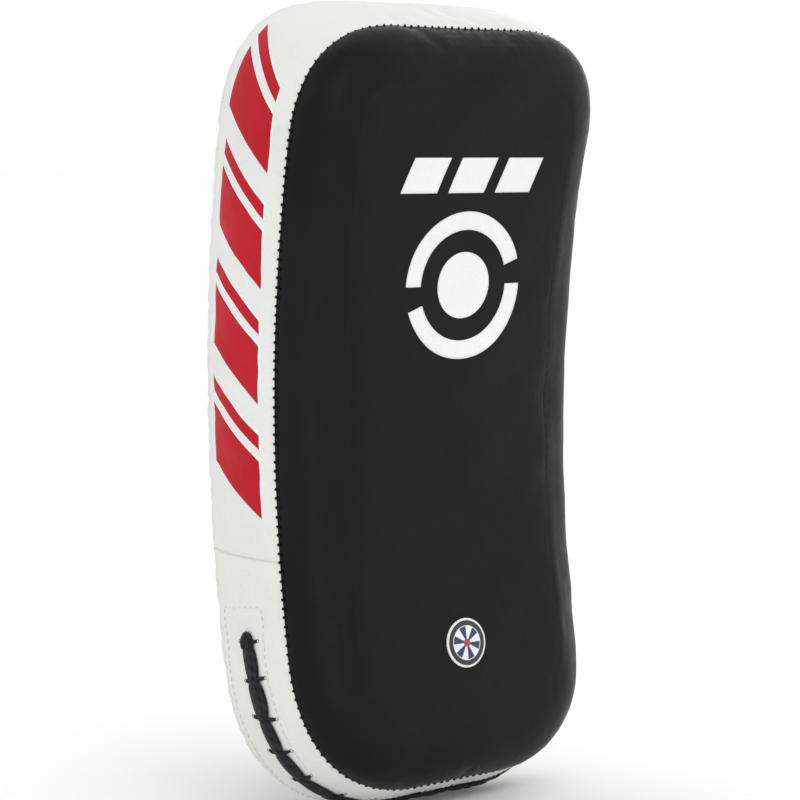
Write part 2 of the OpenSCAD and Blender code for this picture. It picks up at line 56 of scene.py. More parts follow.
TOP_R, BOTTOM_R, POWER = 62.0, 80.0, 2.5
TAPER, BULGE, SKIN = 0.04, 4.0, 1.4
MID_Y, MID_Z = -15.8, 207.1
CROSS_SEAM, SLIT_START, SLIT_HALF = -70.0, -114.5, 2.0
LACE_PITCHES = 17
HALF = LENGTH / 2
STITCHES = 236
PER_STITCH = 4
AROUND = STITCHES * PER_STITCH


# ---- The pad's flat outline and its bend ----

def half_gusset(s):
    k = s / HALF
    return THICK / 2 * (1 + 0.05 * k + 0.02 * k * k)


def bend(flat):
    """Flat points (across, depth, along) in millimetres to points in metres."""
    flat = np.asarray(flat, float)
    turn = flat[..., 2] / BEND
    reach = BEND + flat[..., 1]
    y, z = MID_Y - BEND + reach * np.cos(turn), MID_Z + reach * np.sin(turn)
    return np.stack([flat[..., 0], y, z], -1) * MM


def bend_direction(flat, d):
    """A flat direction at a flat point, turned as the bend turns it."""
    turn = np.asarray(flat, float)[..., 2] / BEND
    d = np.asarray(d, float)
    return np.stack([
        d[..., 0],
        d[..., 1] * np.cos(turn) - d[..., 2] * np.sin(turn),
        d[..., 1] * np.sin(turn) + d[..., 2] * np.cos(turn),
    ], -1)


def smooth_outline(n):
    """n even stations clockwise from the top's middle: points, outward normals, distance at each, perimeter."""
    q = np.radians(np.linspace(0, 90, 160))
    c, s = np.cos(q) ** (2 / POWER), np.sin(q) ** (2 / POWER)
    half_w = WIDTH / 2
    top = np.stack([half_w - TOP_R + TOP_R * c[::-1], HALF - TOP_R + TOP_R * s[::-1]], 1)
    low = np.stack([half_w - BOTTOM_R + BOTTOM_R * c, -HALF + BOTTOM_R - BOTTOM_R * s], 1)
    half = np.concatenate([[[0, HALF]], top, low, [[0, -HALF]]])
    half = np.concatenate([half, (half * [-1, 1])[-2:0:-1]])
    half[:, 0] *= 1 - TAPER * ((1 - half[:, 1] / HALF) / 2) ** 2
    loop = np.concatenate([half, half[:1]])
    run = np.concatenate([[0], np.cumsum(np.linalg.norm(np.diff(loop, axis=0), axis=1))])
    at = np.arange(n) * run[-1] / n
    p = np.stack([np.interp(at, run, loop[:, k]) for k in (0, 1)], 1)
    for _ in range(max(1, n // 200)):
        p = (np.roll(p, 1, 0) + 2 * p + np.roll(p, -1, 0)) / 4
    t = np.roll(p, -1, 0) - np.roll(p, 1, 0)
    t /= np.linalg.norm(t, axis=1)[:, None]
    return p, np.stack([-t[:, 1], t[:, 0]], 1), at, run[-1]


OUT, NORMAL, RUN, PERIMETER = smooth_outline(AROUND)


def outline_at(along):
    """Outline point and normal at distances along it, in flat millimetres."""
    along = np.mod(along, PERIMETER)
    xs = np.concatenate([RUN, [PERIMETER]])
    p = np.stack([np.interp(along, xs, np.append(OUT[:, k], OUT[0, k])) for k in (0, 1)], -1)
    n = np.stack([np.interp(along, xs, np.append(NORMAL[:, k], NORMAL[0, k])) for k in (0, 1)], -1)
    return p, n / np.linalg.norm(n, axis=-1)[..., None]


def run_at_level(s):
    """Distance along the right side where the outline passes a level, below the top corner."""
    right = (OUT[:, 0] > WIDTH / 3) & (OUT[:, 1] < 130)
    order = np.argsort(OUT[right, 1])
    return float(np.interp(s, OUT[right, 1][order], RUN[right][order]))


def band_flat(along, depth, out=0.0):
    """Flat point on the side band: distance along the outline, depth from its middle line, height off it."""
    p, n = outline_at(along)
    v = depth / half_gusset(p[..., 1])
    e = BULGE * (1 - v * v) + out
    return np.stack([p[..., 0] + n[..., 0] * e, depth + 0 * e, p[..., 1] + n[..., 1] * e], -1)


def band_normal(along):
    p, n = outline_at(along)
    flat = np.stack([p[..., 0], 0 * p[..., 0], p[..., 1]], -1)
    return bend_direction(flat, np.stack([n[..., 0], 0 * n[..., 0], n[..., 1]], -1))


def back_depth(s):
    return half_gusset(s) + BACK_CROWN


def on_back(s):
    """Frame on the back panel as a 4x4 in metres: X across, Y out of the panel, Z along the pad."""
    slope = math.atan((back_depth(s + 1) - back_depth(s - 1)) / 2)
    place = bend(np.array([0, back_depth(s), s]))
    return Matrix.Translation(Vector(place)) @ Matrix.Rotation(s / BEND - slope, 4, "X")


# ---- Even, repeatable waviness ----

def waves(points, size, seed, count=14):
    """Smooth noise of about one, with features of the given size, at points of any unit."""
    rng = np.random.RandomState(seed)
    total = np.zeros(points.shape[:-1])
    for _ in range(count):
        d = rng.normal(size=3)
        d *= 2 * math.pi / (np.linalg.norm(d) * size * rng.uniform(0.7, 1.6))
        total += np.sin(points @ d + rng.uniform(0, 6.283))
    return total / math.sqrt(count / 2)


# ---- Mesh helpers ----

def outward(mesh, weld=0.0):
    """Turn every closed shell's faces outward, after welding near points if a distance is given."""
    bm = bmesh.new()
    bm.from_mesh(mesh)
    if weld:
        bmesh.ops.remove_doubles(bm, verts=bm.verts, dist=weld)
        bmesh.ops.delete(bm, geom=[v for v in bm.verts if not v.link_faces], context="VERTS")
    bmesh.ops.recalc_face_normals(bm, faces=bm.faces)
    bm.to_mesh(mesh)
    bm.free()


def make_mesh(name, verts, faces, materials, smooth=True, indices=None):
    mesh = bpy.data.meshes.new(name)
    mesh.from_pydata(np.asarray(verts).reshape(-1, 3).tolist(), [], [list(map(int, f)) for f in faces])
    mesh.update()
    for m in materials:
        mesh.materials.append(m)
    mesh.polygons.foreach_set("use_smooth", [smooth] * len(mesh.polygons))
    if indices is not None:
        mesh.polygons.foreach_set("material_index", indices)
    outward(mesh)
    obj = bpy.data.objects.new(name, mesh)
    bpy.context.scene.collection.objects.link(obj)
    return obj


def quads(rows, sides):
    """Faces between neighbouring closed rings of points."""
    return [(r * sides + i, r * sides + (i + 1) % sides, (r + 1) * sides + (i + 1) % sides, (r + 1) * sides + i)
            for r in range(rows - 1) for i in range(sides)]


def capped(rows, sides):
    """Faces of a tube of closed rings, with a cap on each end."""
    first, last = range(sides - 1, -1, -1), range((rows - 1) * sides, rows * sides)
    return quads(rows, sides) + [tuple(first), tuple(last)]


def circle(sides):
    """Even angles round a circle."""
    return np.arange(sides) * 2 * math.pi / sides


def set_uv(obj, uv):
    """UVs from one pair per vertex, in metres."""
    mesh = obj.data
    layer = mesh.uv_layers.new(name="UVMap")
    loops = np.zeros(len(mesh.loops), int)
    mesh.loops.foreach_get("vertex_index", loops)
    layer.data.foreach_set("uv", np.asarray(uv, np.float32)[loops].ravel())


def band_faces(rows, cols, closed=True, base=0):
    """Quads between rows of cols points; rows run outward-first, cols clockwise from the front."""
    faces = []
    for r in range(rows - 1):
        a = base + r * cols
        for i in range(cols if closed else cols - 1):
            j = (i + 1) % cols
            faces.append((a + i, a + j, a + cols + j, a + cols + i))
    return faces


class Parts:
    """Collects separate closed solids for one mesh."""

    def __init__(self):
        self.verts, self.faces, self.tags, self.uv = [], [], [], []
        self.count = 0

    def add(self, verts, faces, tag=0, uv=None):
        verts = np.asarray(verts).reshape(-1, 3)
        self.verts.append(verts)
        self.uv.append(np.zeros((len(verts), 2)) if uv is None else np.asarray(uv).reshape(-1, 2))
        self.faces += [tuple(int(i) + self.count for i in f) for f in faces]
        self.tags += [tag] * len(faces)
        self.count += len(verts)

    def build(self, name, materials, smooth=True):
        obj = make_mesh(name, np.concatenate(self.verts), self.faces, materials, smooth, self.tags)
        set_uv(obj, np.concatenate(self.uv))
        return obj


def tube(parts, path, up, radii, sides=8, flat=1.0, tag=0):
    """Round or flattened tube along points, with a height direction at each and rounded closed ends."""
    path, up = np.asarray(path, float), np.asarray(up, float)
    radii = np.broadcast_to(radii, len(path)).astype(float)
    t = np.gradient(path, axis=0)
    t /= np.linalg.norm(t, axis=1)[:, None]
    side = np.cross(t, up)
    side /= np.linalg.norm(side, axis=1)[:, None]
    lift = np.cross(side, t)
    a = circle(sides)
    ring = path[:, None] + radii[:, None, None] * (
        np.cos(a)[None, :, None] * side[:, None] + flat * np.sin(a)[None, :, None] * lift[:, None])
    step = np.concatenate([[0], np.cumsum(np.linalg.norm(np.diff(path, axis=0), axis=1))])
    uv = np.stack([np.broadcast_to(a / (2 * math.pi) * 2 * math.pi * radii.mean(), (len(path), sides)),
                   np.broadcast_to(step[:, None], (len(path), sides))], -1)
    parts.add(ring, capped(len(path), sides), tag, uv)


def finish_piece(parts, name, materials, body, replaced=(), smooth=True):
    """Build the piece with its materials, hide the CAD parts it replaces and attach it to the body that carries
    it.
    """
    obj = parts.build(name, materials, smooth)
    if replaced:
        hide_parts(*replaced)
    if body:
        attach(obj, body)
    return obj


# ---- Materials ----

def material(name):
    m = bpy.data.materials.new(name)
    m.use_nodes = True
    nodes, links = m.node_tree.nodes, m.node_tree.links
    return m, nodes, links, nodes["Principled BSDF"]


def node(nodes, kind, **values):
    n = nodes.new(kind)
    for key, value in values.items():
        if hasattr(n, key):
            setattr(n, key, value)
        else:
            n.inputs[key.replace("_", " ")].default_value = value
    return n


def ramp(nodes, low, high, a, b):
    r = nodes.new("ShaderNodeValToRGB")
    r.color_ramp.elements[0].position = low
    r.color_ramp.elements[0].color = (*a, 1) if not isinstance(a, float) else (a, a, a, 1)
    r.color_ramp.elements[1].position = high
    r.color_ramp.elements[1].color = (*b, 1) if not isinstance(b, float) else (b, b, b, 1)
    return r


def leather(name, dark, light, rough, grain=1.1, depth=0.25, specular=0.3, coat=0.0):
    """Pebbled leather: rounded cells, fine pores, soft creases, and shade and gloss that drift."""
    m, nodes, links, bsdf = material(name)
    place = nodes.new("ShaderNodeTexCoord")
    cells = node(nodes, "ShaderNodeTexVoronoi", feature="F1", Scale=1000 / grain, Randomness=0.95)
    fine = node(nodes, "ShaderNodeTexNoise", Scale=2600 / grain, Detail=2.0)
    broad = node(nodes, "ShaderNodeTexNoise", Scale=14.0, Detail=4.0, Roughness=0.55)
    mid = node(nodes, "ShaderNodeTexNoise", Scale=120.0, Detail=3.0)
    for n in (cells, fine, broad, mid):
        links.new(place.outputs["Object"], n.inputs["Vector"])
    shade = ramp(nodes, 0.3, 0.72, dark, light)
    links.new(broad.outputs["Fac"], shade.inputs["Fac"])
    pores = ramp(nodes, 0.0, 0.75, 1.0, 0.93)
    links.new(cells.outputs["Distance"], pores.inputs["Fac"])
    tint = node(nodes, "ShaderNodeMix", data_type="RGBA", blend_type="MULTIPLY")
    tint.inputs["Factor"].default_value = 1.0
    links.new(shade.outputs["Color"], tint.inputs["A"])
    links.new(pores.outputs["Color"], tint.inputs["B"])
    links.new(tint.outputs["Result"], bsdf.inputs["Base Color"])
    gloss = ramp(nodes, 0.25, 0.8, max(0.05, rough - 0.06), rough + 0.07)
    links.new(mid.outputs["Fac"], gloss.inputs["Fac"])
    links.new(gloss.outputs["Color"], bsdf.inputs["Roughness"])
    cell_bump = node(nodes, "ShaderNodeBump", Strength=depth, Distance=0.0002, invert=True)
    links.new(cells.outputs["Distance"], cell_bump.inputs["Height"])
    fine_bump = node(nodes, "ShaderNodeBump", Strength=depth * 0.7, Distance=0.00008)
    links.new(fine.outputs["Fac"], fine_bump.inputs["Height"])
    links.new(cell_bump.outputs["Normal"], fine_bump.inputs["Normal"])
    soft_bump = node(nodes, "ShaderNodeBump", Strength=0.18, Distance=0.0012)
    links.new(mid.outputs["Fac"], soft_bump.inputs["Height"])
    links.new(fine_bump.outputs["Normal"], soft_bump.inputs["Normal"])
    links.new(soft_bump.outputs["Normal"], bsdf.inputs["Normal"])
    bsdf.inputs["Specular IOR Level"].default_value = specular
    bsdf.inputs["Coat Weight"].default_value = coat
    bsdf.inputs["Coat Roughness"].default_value = 0.35
    return m


def woven(name, dark, light, pitch, rough=0.75, ribs=True, sheen=0.0):
    """Webbing or lace: ribs across and along in the piece's own UVs, with fuzz and shade."""
    m, nodes, links, bsdf = material(name)
    place = nodes.new("ShaderNodeTexCoord")
    across = node(nodes, "ShaderNodeTexWave", wave_type="BANDS", bands_direction="X", Scale=0.157 / pitch)
    along = node(nodes, "ShaderNodeTexWave", wave_type="BANDS", bands_direction="DIAGONAL" if ribs else "Y",
                 Scale=0.157 / (pitch * 1.4))
    for n in (across, along):
        links.new(place.outputs["UV"], n.inputs["Vector"])
    fuzz = node(nodes, "ShaderNodeTexNoise", Scale=900.0, Detail=3.0)
    links.new(place.outputs["Object"], fuzz.inputs["Vector"])
    weave = node(nodes, "ShaderNodeMix", data_type="FLOAT")
    weave.inputs["Factor"].default_value = 0.5
    links.new(across.outputs["Fac"], weave.inputs["A"])
    links.new(along.outputs["Fac"], weave.inputs["B"])
    shade = ramp(nodes, 0.15, 0.85, dark, light)
    links.new(weave.outputs["Result"], shade.inputs["Fac"])
    links.new(shade.outputs["Color"], bsdf.inputs["Base Color"])
    bump = node(nodes, "ShaderNodeBump", Strength=0.6, Distance=0.0003)
    links.new(weave.outputs["Result"], bump.inputs["Height"])
    fuzz_bump = node(nodes, "ShaderNodeBump", Strength=0.35, Distance=0.0002)
    links.new(fuzz.outputs["Fac"], fuzz_bump.inputs["Height"])
    links.new(bump.outputs["Normal"], fuzz_bump.inputs["Normal"])
    links.new(fuzz_bump.outputs["Normal"], bsdf.inputs["Normal"])
    bsdf.inputs["Roughness"].default_value = rough
    bsdf.inputs["Specular IOR Level"].default_value = 0.15
    bsdf.inputs["Sheen Weight"].default_value = sheen
    return m


def fibrous(name, dark, light, scale, strength=0.8, rough=0.9):
    """Foam, loop tape or hook tape: a bed of small bumps."""
    m, nodes, links, bsdf = material(name)
    place = nodes.new("ShaderNodeTexCoord")
    cells = node(nodes, "ShaderNodeTexVoronoi", feature="F1", Scale=scale)
    noise = node(nodes, "ShaderNodeTexNoise", Scale=scale * 0.4, Detail=4.0)
    for n in (cells, noise):
        links.new(place.outputs["Object"], n.inputs["Vector"])
    shade = ramp(nodes, 0.2, 0.8, dark, light)
    links.new(noise.outputs["Fac"], shade.inputs["Fac"])
    links.new(shade.outputs["Color"], bsdf.inputs["Base Color"])
    bump = node(nodes, "ShaderNodeBump", Strength=strength, Distance=0.0005, invert=True)
    links.new(cells.outputs["Distance"], bump.inputs["Height"])
    links.new(bump.outputs["Normal"], bsdf.inputs["Normal"])
    bsdf.inputs["Roughness"].default_value = rough
    return m


def steel(name):
    m, nodes, links, bsdf = material(name)
    place = nodes.new("ShaderNodeTexCoord")
    scratch = node(nodes, "ShaderNodeTexNoise", Scale=260.0, Detail=6.0)
    links.new(place.outputs["Object"], scratch.inputs["Vector"])
    gloss = ramp(nodes, 0.35, 0.75, 0.16, 0.34)
    links.new(scratch.outputs["Fac"], gloss.inputs["Fac"])
    links.new(gloss.outputs["Color"], bsdf.inputs["Roughness"])
    shade = ramp(nodes, 0.3, 0.8, (0.62, 0.63, 0.65), (0.78, 0.79, 0.8))
    links.new(scratch.outputs["Fac"], shade.inputs["Fac"])
    links.new(shade.outputs["Color"], bsdf.inputs["Base Color"])
    bump = node(nodes, "ShaderNodeBump", Strength=0.08, Distance=0.0002)
    links.new(scratch.outputs["Fac"], bump.inputs["Height"])
    links.new(bump.outputs["Normal"], bsdf.inputs["Normal"])
    bsdf.inputs["Metallic"].default_value = 1.0
    return m


def timber(name, dark, light):
    m, nodes, links, bsdf = material(name)
    place = nodes.new("ShaderNodeTexCoord")
    rings = node(nodes, "ShaderNodeTexWave", wave_type="BANDS", bands_direction="Z", Scale=60.0,
                 Distortion=6.0, Detail=3.0)
    links.new(place.outputs["Object"], rings.inputs["Vector"])
    shade = ramp(nodes, 0.2, 0.8, dark, light)
    links.new(rings.outputs["Fac"], shade.inputs["Fac"])
    links.new(shade.outputs["Color"], bsdf.inputs["Base Color"])
    bsdf.inputs["Roughness"].default_value = 0.6
    return m


BLACK = leather("black_leather", (0.0026, 0.0026, 0.0032), (0.0050, 0.0050, 0.0058), 0.42, 0.9, 0.22, 0.14)
WHITE = leather("white_leather", (0.700, 0.708, 0.682), (0.745, 0.753, 0.728), 0.46, 0.8, 0.12)
CUSHION = leather("cushion_leather", (0.008, 0.008, 0.009), (0.013, 0.013, 0.0145), 0.5, 1.3, 0.3, 0.22)
GRIP = leather("grip_leather", (0.007, 0.007, 0.0078), (0.011, 0.011, 0.012), 0.42, 1.0, 0.28, 0.25)
RED = leather("red_print", (0.42, 0.004, 0.012), (0.49, 0.006, 0.018), 0.42, 0.8, 0.08, 0.16)
BORDER = leather("print_border", (0.88, 0.88, 0.87), (0.93, 0.93, 0.92), 0.42, 0.8, 0.06)
FILM = leather("white_print", (0.80, 0.80, 0.80), (0.86, 0.86, 0.86), 0.42, 0.9, 0.05)
THREAD = woven("black_thread", (0.004, 0.004, 0.0045), (0.012, 0.012, 0.013), 0.0006)
GREY_THREAD = woven("grey_thread", (0.030, 0.030, 0.032), (0.075, 0.075, 0.080), 0.0006)
# The facing's stitching is white thread coloured light grey: the grey is painted shade from the small stitch
# holes the thread sinks into.
PALE_THREAD = woven("pale_thread", (0.52, 0.52, 0.50), (0.70, 0.70, 0.68), 0.0006)
LACE = woven("lace_weave", (0.006, 0.006, 0.007), (0.022, 0.022, 0.024), 0.0009, 0.55)
WEBBING = woven("webbing_weave", (0.008, 0.008, 0.009), (0.024, 0.024, 0.026), 0.0012, 0.8, True, 0.08)
TONGUE = woven("tongue_weave", (0.010, 0.010, 0.011), (0.022, 0.022, 0.023), 0.0008, 0.9)
LOOP_TAPE = fibrous("loop_tape_pile", (0.012, 0.012, 0.013), (0.045, 0.045, 0.048), 900)
HOOK_TAPE = fibrous("hook_tape_stems", (0.010, 0.010, 0.011), (0.060, 0.060, 0.064), 620, 1.0, 0.55)
STEEL = steel("bright_steel")
DOWEL = timber("grip_dowel", (0.32, 0.19, 0.09), (0.52, 0.35, 0.19))
BOARD = timber("pressed_board", (0.30, 0.20, 0.11), (0.42, 0.30, 0.18))
BADGE_BLUE = leather("badge_blue", (0.010, 0.018, 0.11), (0.014, 0.024, 0.14), 0.22, 0.6, 0.03, coat=0.6)
BADGE_RED = leather("badge_red", (0.45, 0.012, 0.03), (0.52, 0.016, 0.04), 0.22, 0.6, 0.03, coat=0.6)
BADGE_WHITE = leather("badge_white", (0.78, 0.78, 0.79), (0.84, 0.84, 0.85), 0.22, 0.6, 0.03, coat=0.6)
BADGE_BLACK = leather("badge_black", (0.008, 0.008, 0.009), (0.013, 0.013, 0.014), 0.25, 0.6, 0.03, coat=0.6)
FOAMS = {
    "strike_foam": fibrous("strike_foam_cells", (0.03, 0.03, 0.035), (0.06, 0.06, 0.065), 400),
    "core_foam": fibrous("core_foam_cells", (0.18, 0.18, 0.2), (0.26, 0.26, 0.28), 300),
    "support_foam": fibrous("support_foam_cells", (0.1, 0.16, 0.22), (0.14, 0.2, 0.27), 300),
}


# ---- Cloth pass: the coarse cover is inflated, and its movement is carried to the fine meshes ----

def inflate(verts, faces, held, pressure, grow, cap, stiffness=15.0, frames=20):
    """Displacement of a coarse closed mesh after a cloth simulation, softly capped, in metres."""
    obj = make_mesh("cloth_pass", verts, faces, [])
    group = obj.vertex_groups.new(name="held")
    group.add([int(i) for i in held], 1.0, "REPLACE")
    cloth = obj.modifiers.new("cloth", "CLOTH")
    settings = cloth.settings
    settings.quality = 5
    settings.mass = 0.25
    settings.tension_stiffness = stiffness
    settings.compression_stiffness = stiffness
    settings.shear_stiffness = stiffness / 3
    settings.bending_stiffness = 0.5
    settings.use_pressure = True
    settings.uniform_pressure_force = pressure
    settings.shrink_min = -grow
    settings.vertex_group_mass = "held"
    settings.effector_weights.gravity = 0
    cloth.point_cache.frame_start = 1
    cloth.point_cache.frame_end = frames
    scene = bpy.context.scene
    for frame_number in range(1, frames + 1):
        scene.frame_set(frame_number)
    shown = obj.evaluated_get(bpy.context.evaluated_depsgraph_get())
    after = np.zeros(len(verts) * 3)
    shown.data.vertices.foreach_get("co", after)
    moved = after.reshape(-1, 3) - np.asarray(verts)
    mesh = obj.data
    bpy.data.objects.remove(obj)
    bpy.data.meshes.remove(mesh)
    scene.frame_set(1)
    size = np.linalg.norm(moved, axis=1)[:, None]
    return moved * np.where(size > 1e-9, cap * np.tanh(size / cap) / np.maximum(size, 1e-9), 0)


class Carried:
    """Looks up a cloth pass's movement at any point, blending its nearest coarse points."""

    def __init__(self, verts, moved):
        self.moved = moved
        self.tree = KDTree(len(verts))
        for i, v in enumerate(verts):
            self.tree.insert(v, i)
        self.tree.balance()

    def at(self, points):
        out = np.zeros((len(points), 3))
        for k, p in enumerate(points):
            near = self.tree.find_n(p, 6)
            w = np.array([1 / (d * d + 4e-6) for _, _, d in near])
            out[k] = (w[:, None] * self.moved[[i for _, i, _ in near]]).sum(0) / w.sum()
        return out

    def apply(self, obj):
        mesh = obj.data
        co = np.zeros(len(mesh.vertices) * 3)
        mesh.vertices.foreach_get("co", co)
        co = co.reshape(-1, 3)
        mesh.vertices.foreach_set("co", (co + self.at(co)).ravel())
        mesh.update()


# ---- The cover: strike face, side bands and back panel ----

def paint(node_name, mat):
    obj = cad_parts[node_name]
    obj.data.materials.clear()
    obj.data.materials.append(mat)


def face_profile(angle, sign):
    """Outward and depth offsets from the seam, and the normal, at an angle up a panel's shoulder."""
    shoulder, crown = (SHOULDER, CROWN) if sign < 0 else (BACK_SHOULDER, BACK_CROWN)
    e = -shoulder * (1 - math.cos(angle))
    n = sign * crown * math.sin(angle)
    normal = np.array([math.cos(angle) / shoulder, sign * math.sin(angle) / crown])
    return e, n, normal / np.linalg.norm(normal)


def seam_pucker(distance, points, index, seed):
    """Height change near a seam: a dip at every stitch, small folds and gentle waviness."""
    stitch = np.cos(2 * math.pi * index / PER_STITCH)
    folds = waves(points, 13.0, seed)
    broad = waves(points, 46.0, seed + 1)
    near = np.exp(-distance / 3.2)
    return -0.16 * near * (1 + stitch) + 0.16 * folds * np.exp(-distance / 9.0) + 0.22 * broad


def grid_spots(ring, a, b, k, n, sign):
    """A panel's plateau as nested squares that meet a ring of n points: (points, ring index, inside)."""
    r = np.maximum(abs(a), abs(b))
    pos = np.where(b == r, np.where(a >= 0, a, 8 * r + a),
                   np.where(a == r, 2 * r - b, np.where(b == -r, 4 * r - a, 6 * r + b)))
    share = np.where(r > 0, pos / np.maximum(r, 1), 0) * k
    i0 = np.floor(share).astype(int)
    f = (share - i0)[..., None]
    edge = ring[i0 % n] * (1 - f) + ring[(i0 + 1) % n] * f
    spot = edge * (r / k)[..., None]
    crown = CROWN if sign < 0 else BACK_CROWN
    depth = sign * (half_gusset(spot[..., 2]) + crown)
    return np.stack([spot[..., 0], depth, spot[..., 2]], -1), pos.astype(int) % (8 * k), r < k


def panel(name, sign, materials, swell):
    """A closed panel: rolled edge, shoulder, plateau as a square grid, and a plain inner side."""
    rows, rolls = [], [(-1.9, 1.0), (-0.9, 0.75), (-0.25, 0.3)]
    index = np.arange(AROUND)
    gus = half_gusset(OUT[:, 1])
    for e, n in rolls:
        q = OUT + NORMAL * e
        rows.append(np.stack([q[:, 0], sign * (gus - n), q[:, 1]], 1))
    angles = math.pi / 2 * np.linspace(0, 1, 27) ** 1.35
    travelled = 0.0
    last = None
    for a in angles:
        e, n, normal = face_profile(a, sign)
        if last is not None:
            travelled += math.hypot(e - last[0], n - last[1])
        last = (e, n)
        q = OUT + NORMAL * e
        flat = np.stack([q[:, 0], sign * gus + n, q[:, 1]], 1)
        lift = seam_pucker(travelled, flat, index, 3 if sign < 0 else 8)
        fade = 1 - math.exp(-travelled / 2.0)
        lift = lift * (0.25 + 0.75 * fade) + swell * (1 - math.exp(-travelled / 14.0))
        q = q + NORMAL * (normal[0] * lift)[:, None]
        rows.append(np.stack([q[:, 0], flat[:, 1] + normal[1] * lift, q[:, 1]], 1))
    ring = rows[-1]
    k = AROUND // 8
    a, b = np.meshgrid(np.arange(-k, k + 1), np.arange(-k, k + 1), indexing="ij")
    r = np.maximum(abs(a), abs(b))
    flat, ring_index, inner = grid_spots(ring, a, b, k, AROUND, sign)
    inside = 1 - (r / k) ** 2.0
    dome = swell + 0.9 * inside * (1 if sign < 0 else 0.4)
    travelled_in = travelled + (1 - r / k) * 70
    flat[..., 1] += sign * (seam_pucker(travelled_in, flat, 0 * r + 2, 3 if sign < 0 else 8) + dome)
    order = np.full(a.shape, -1)
    base = (len(rows) - 1) * AROUND
    order[~inner] = base + ring_index[~inner]
    order[inner] = len(rows) * AROUND + np.arange(inner.sum())
    verts = [np.concatenate(rows), flat[inner]]
    quads = []
    for x in range(2 * k):
        for y in range(2 * k):
            quad = (order[x, y], order[x + 1, y], order[x + 1, y + 1], order[x, y + 1])
            quads.append(quad if sign < 0 else quad[::-1])
    faces = [fc if sign > 0 else fc[::-1] for fc in band_faces(len(rows), AROUND)] + quads
    start = len(rows) * AROUND + int(inner.sum())
    lining = []
    for angle in (0.0, 0.5, 1.0, math.pi / 2):
        e, n, normal = face_profile(angle, sign)
        q = OUT + NORMAL * (e - normal[0] * SKIN - (1.0 if angle == 0 else 0.0))
        lining.append(np.stack([q[:, 0], sign * gus + n - normal[1] * SKIN, q[:, 1]], 1))
    verts.append(np.concatenate(lining))
    lining_faces = band_faces(len(lining), AROUND, base=start)
    faces += [fc[::-1] if sign > 0 else fc for fc in lining_faces]
    rim_faces = [(i, (i + 1) % AROUND, start + (i + 1) % AROUND, start + i) for i in range(AROUND)]
    faces += [fc if sign < 0 else fc[::-1] for fc in rim_faces]
    last_row = start + (len(lining) - 1) * AROUND
    half = AROUND // 2
    for i in range(1, half - 1):
        fc = (last_row + i, last_row + i + 1, last_row + AROUND - i - 1, last_row + AROUND - i)
        faces.append(fc if sign < 0 else fc[::-1])
    for fc in [(last_row, last_row + 1, last_row + AROUND - 1),
               (last_row + half - 1, last_row + half, last_row + half + 1)]:
        faces.append(fc if sign < 0 else fc[::-1])
    obj = make_mesh(name, bend(np.concatenate(verts)), faces, materials)
    return obj


def seam_slant(flat):
    """Flat points with the cross seam's slant: its front end hangs lower than its back end."""
    near = np.exp(-((flat[..., 2] - CROSS_SEAM) / 26.0) ** 2) * (abs(flat[..., 0]) > WIDTH / 4)
    out = flat.copy()
    out[..., 2] += near * (-1.2 + 3.4 * flat[..., 1] / 25.0)
    return out


def band_row(p, nrm, depth, e):
    q = p + nrm * np.asarray(e)[:, None]
    return seam_slant(np.stack([q[:, 0], depth, q[:, 1]], 1))


def back_turn(p, nrm, gus, idx):
    """Rows where the band turns over the back panel's edge, from its tucked end to the seam line."""
    rows = []
    for degrees, off in ((41, -0.9), (41, 0.6), (38, 1.0), (31, 1.1), (23, 1.0), (14, 0.8), (7, 0.5)):
        e, depth, normal = face_profile(math.radians(degrees), 1)
        flat = band_row(p, nrm, gus + depth, e + 0 * gus)
        lift = off + 0.1 * waves(flat, 9.0, 27) * (off > 0)
        rows.append(band_row(p, nrm, gus + depth + normal[1] * lift, e + normal[0] * lift))
    return rows


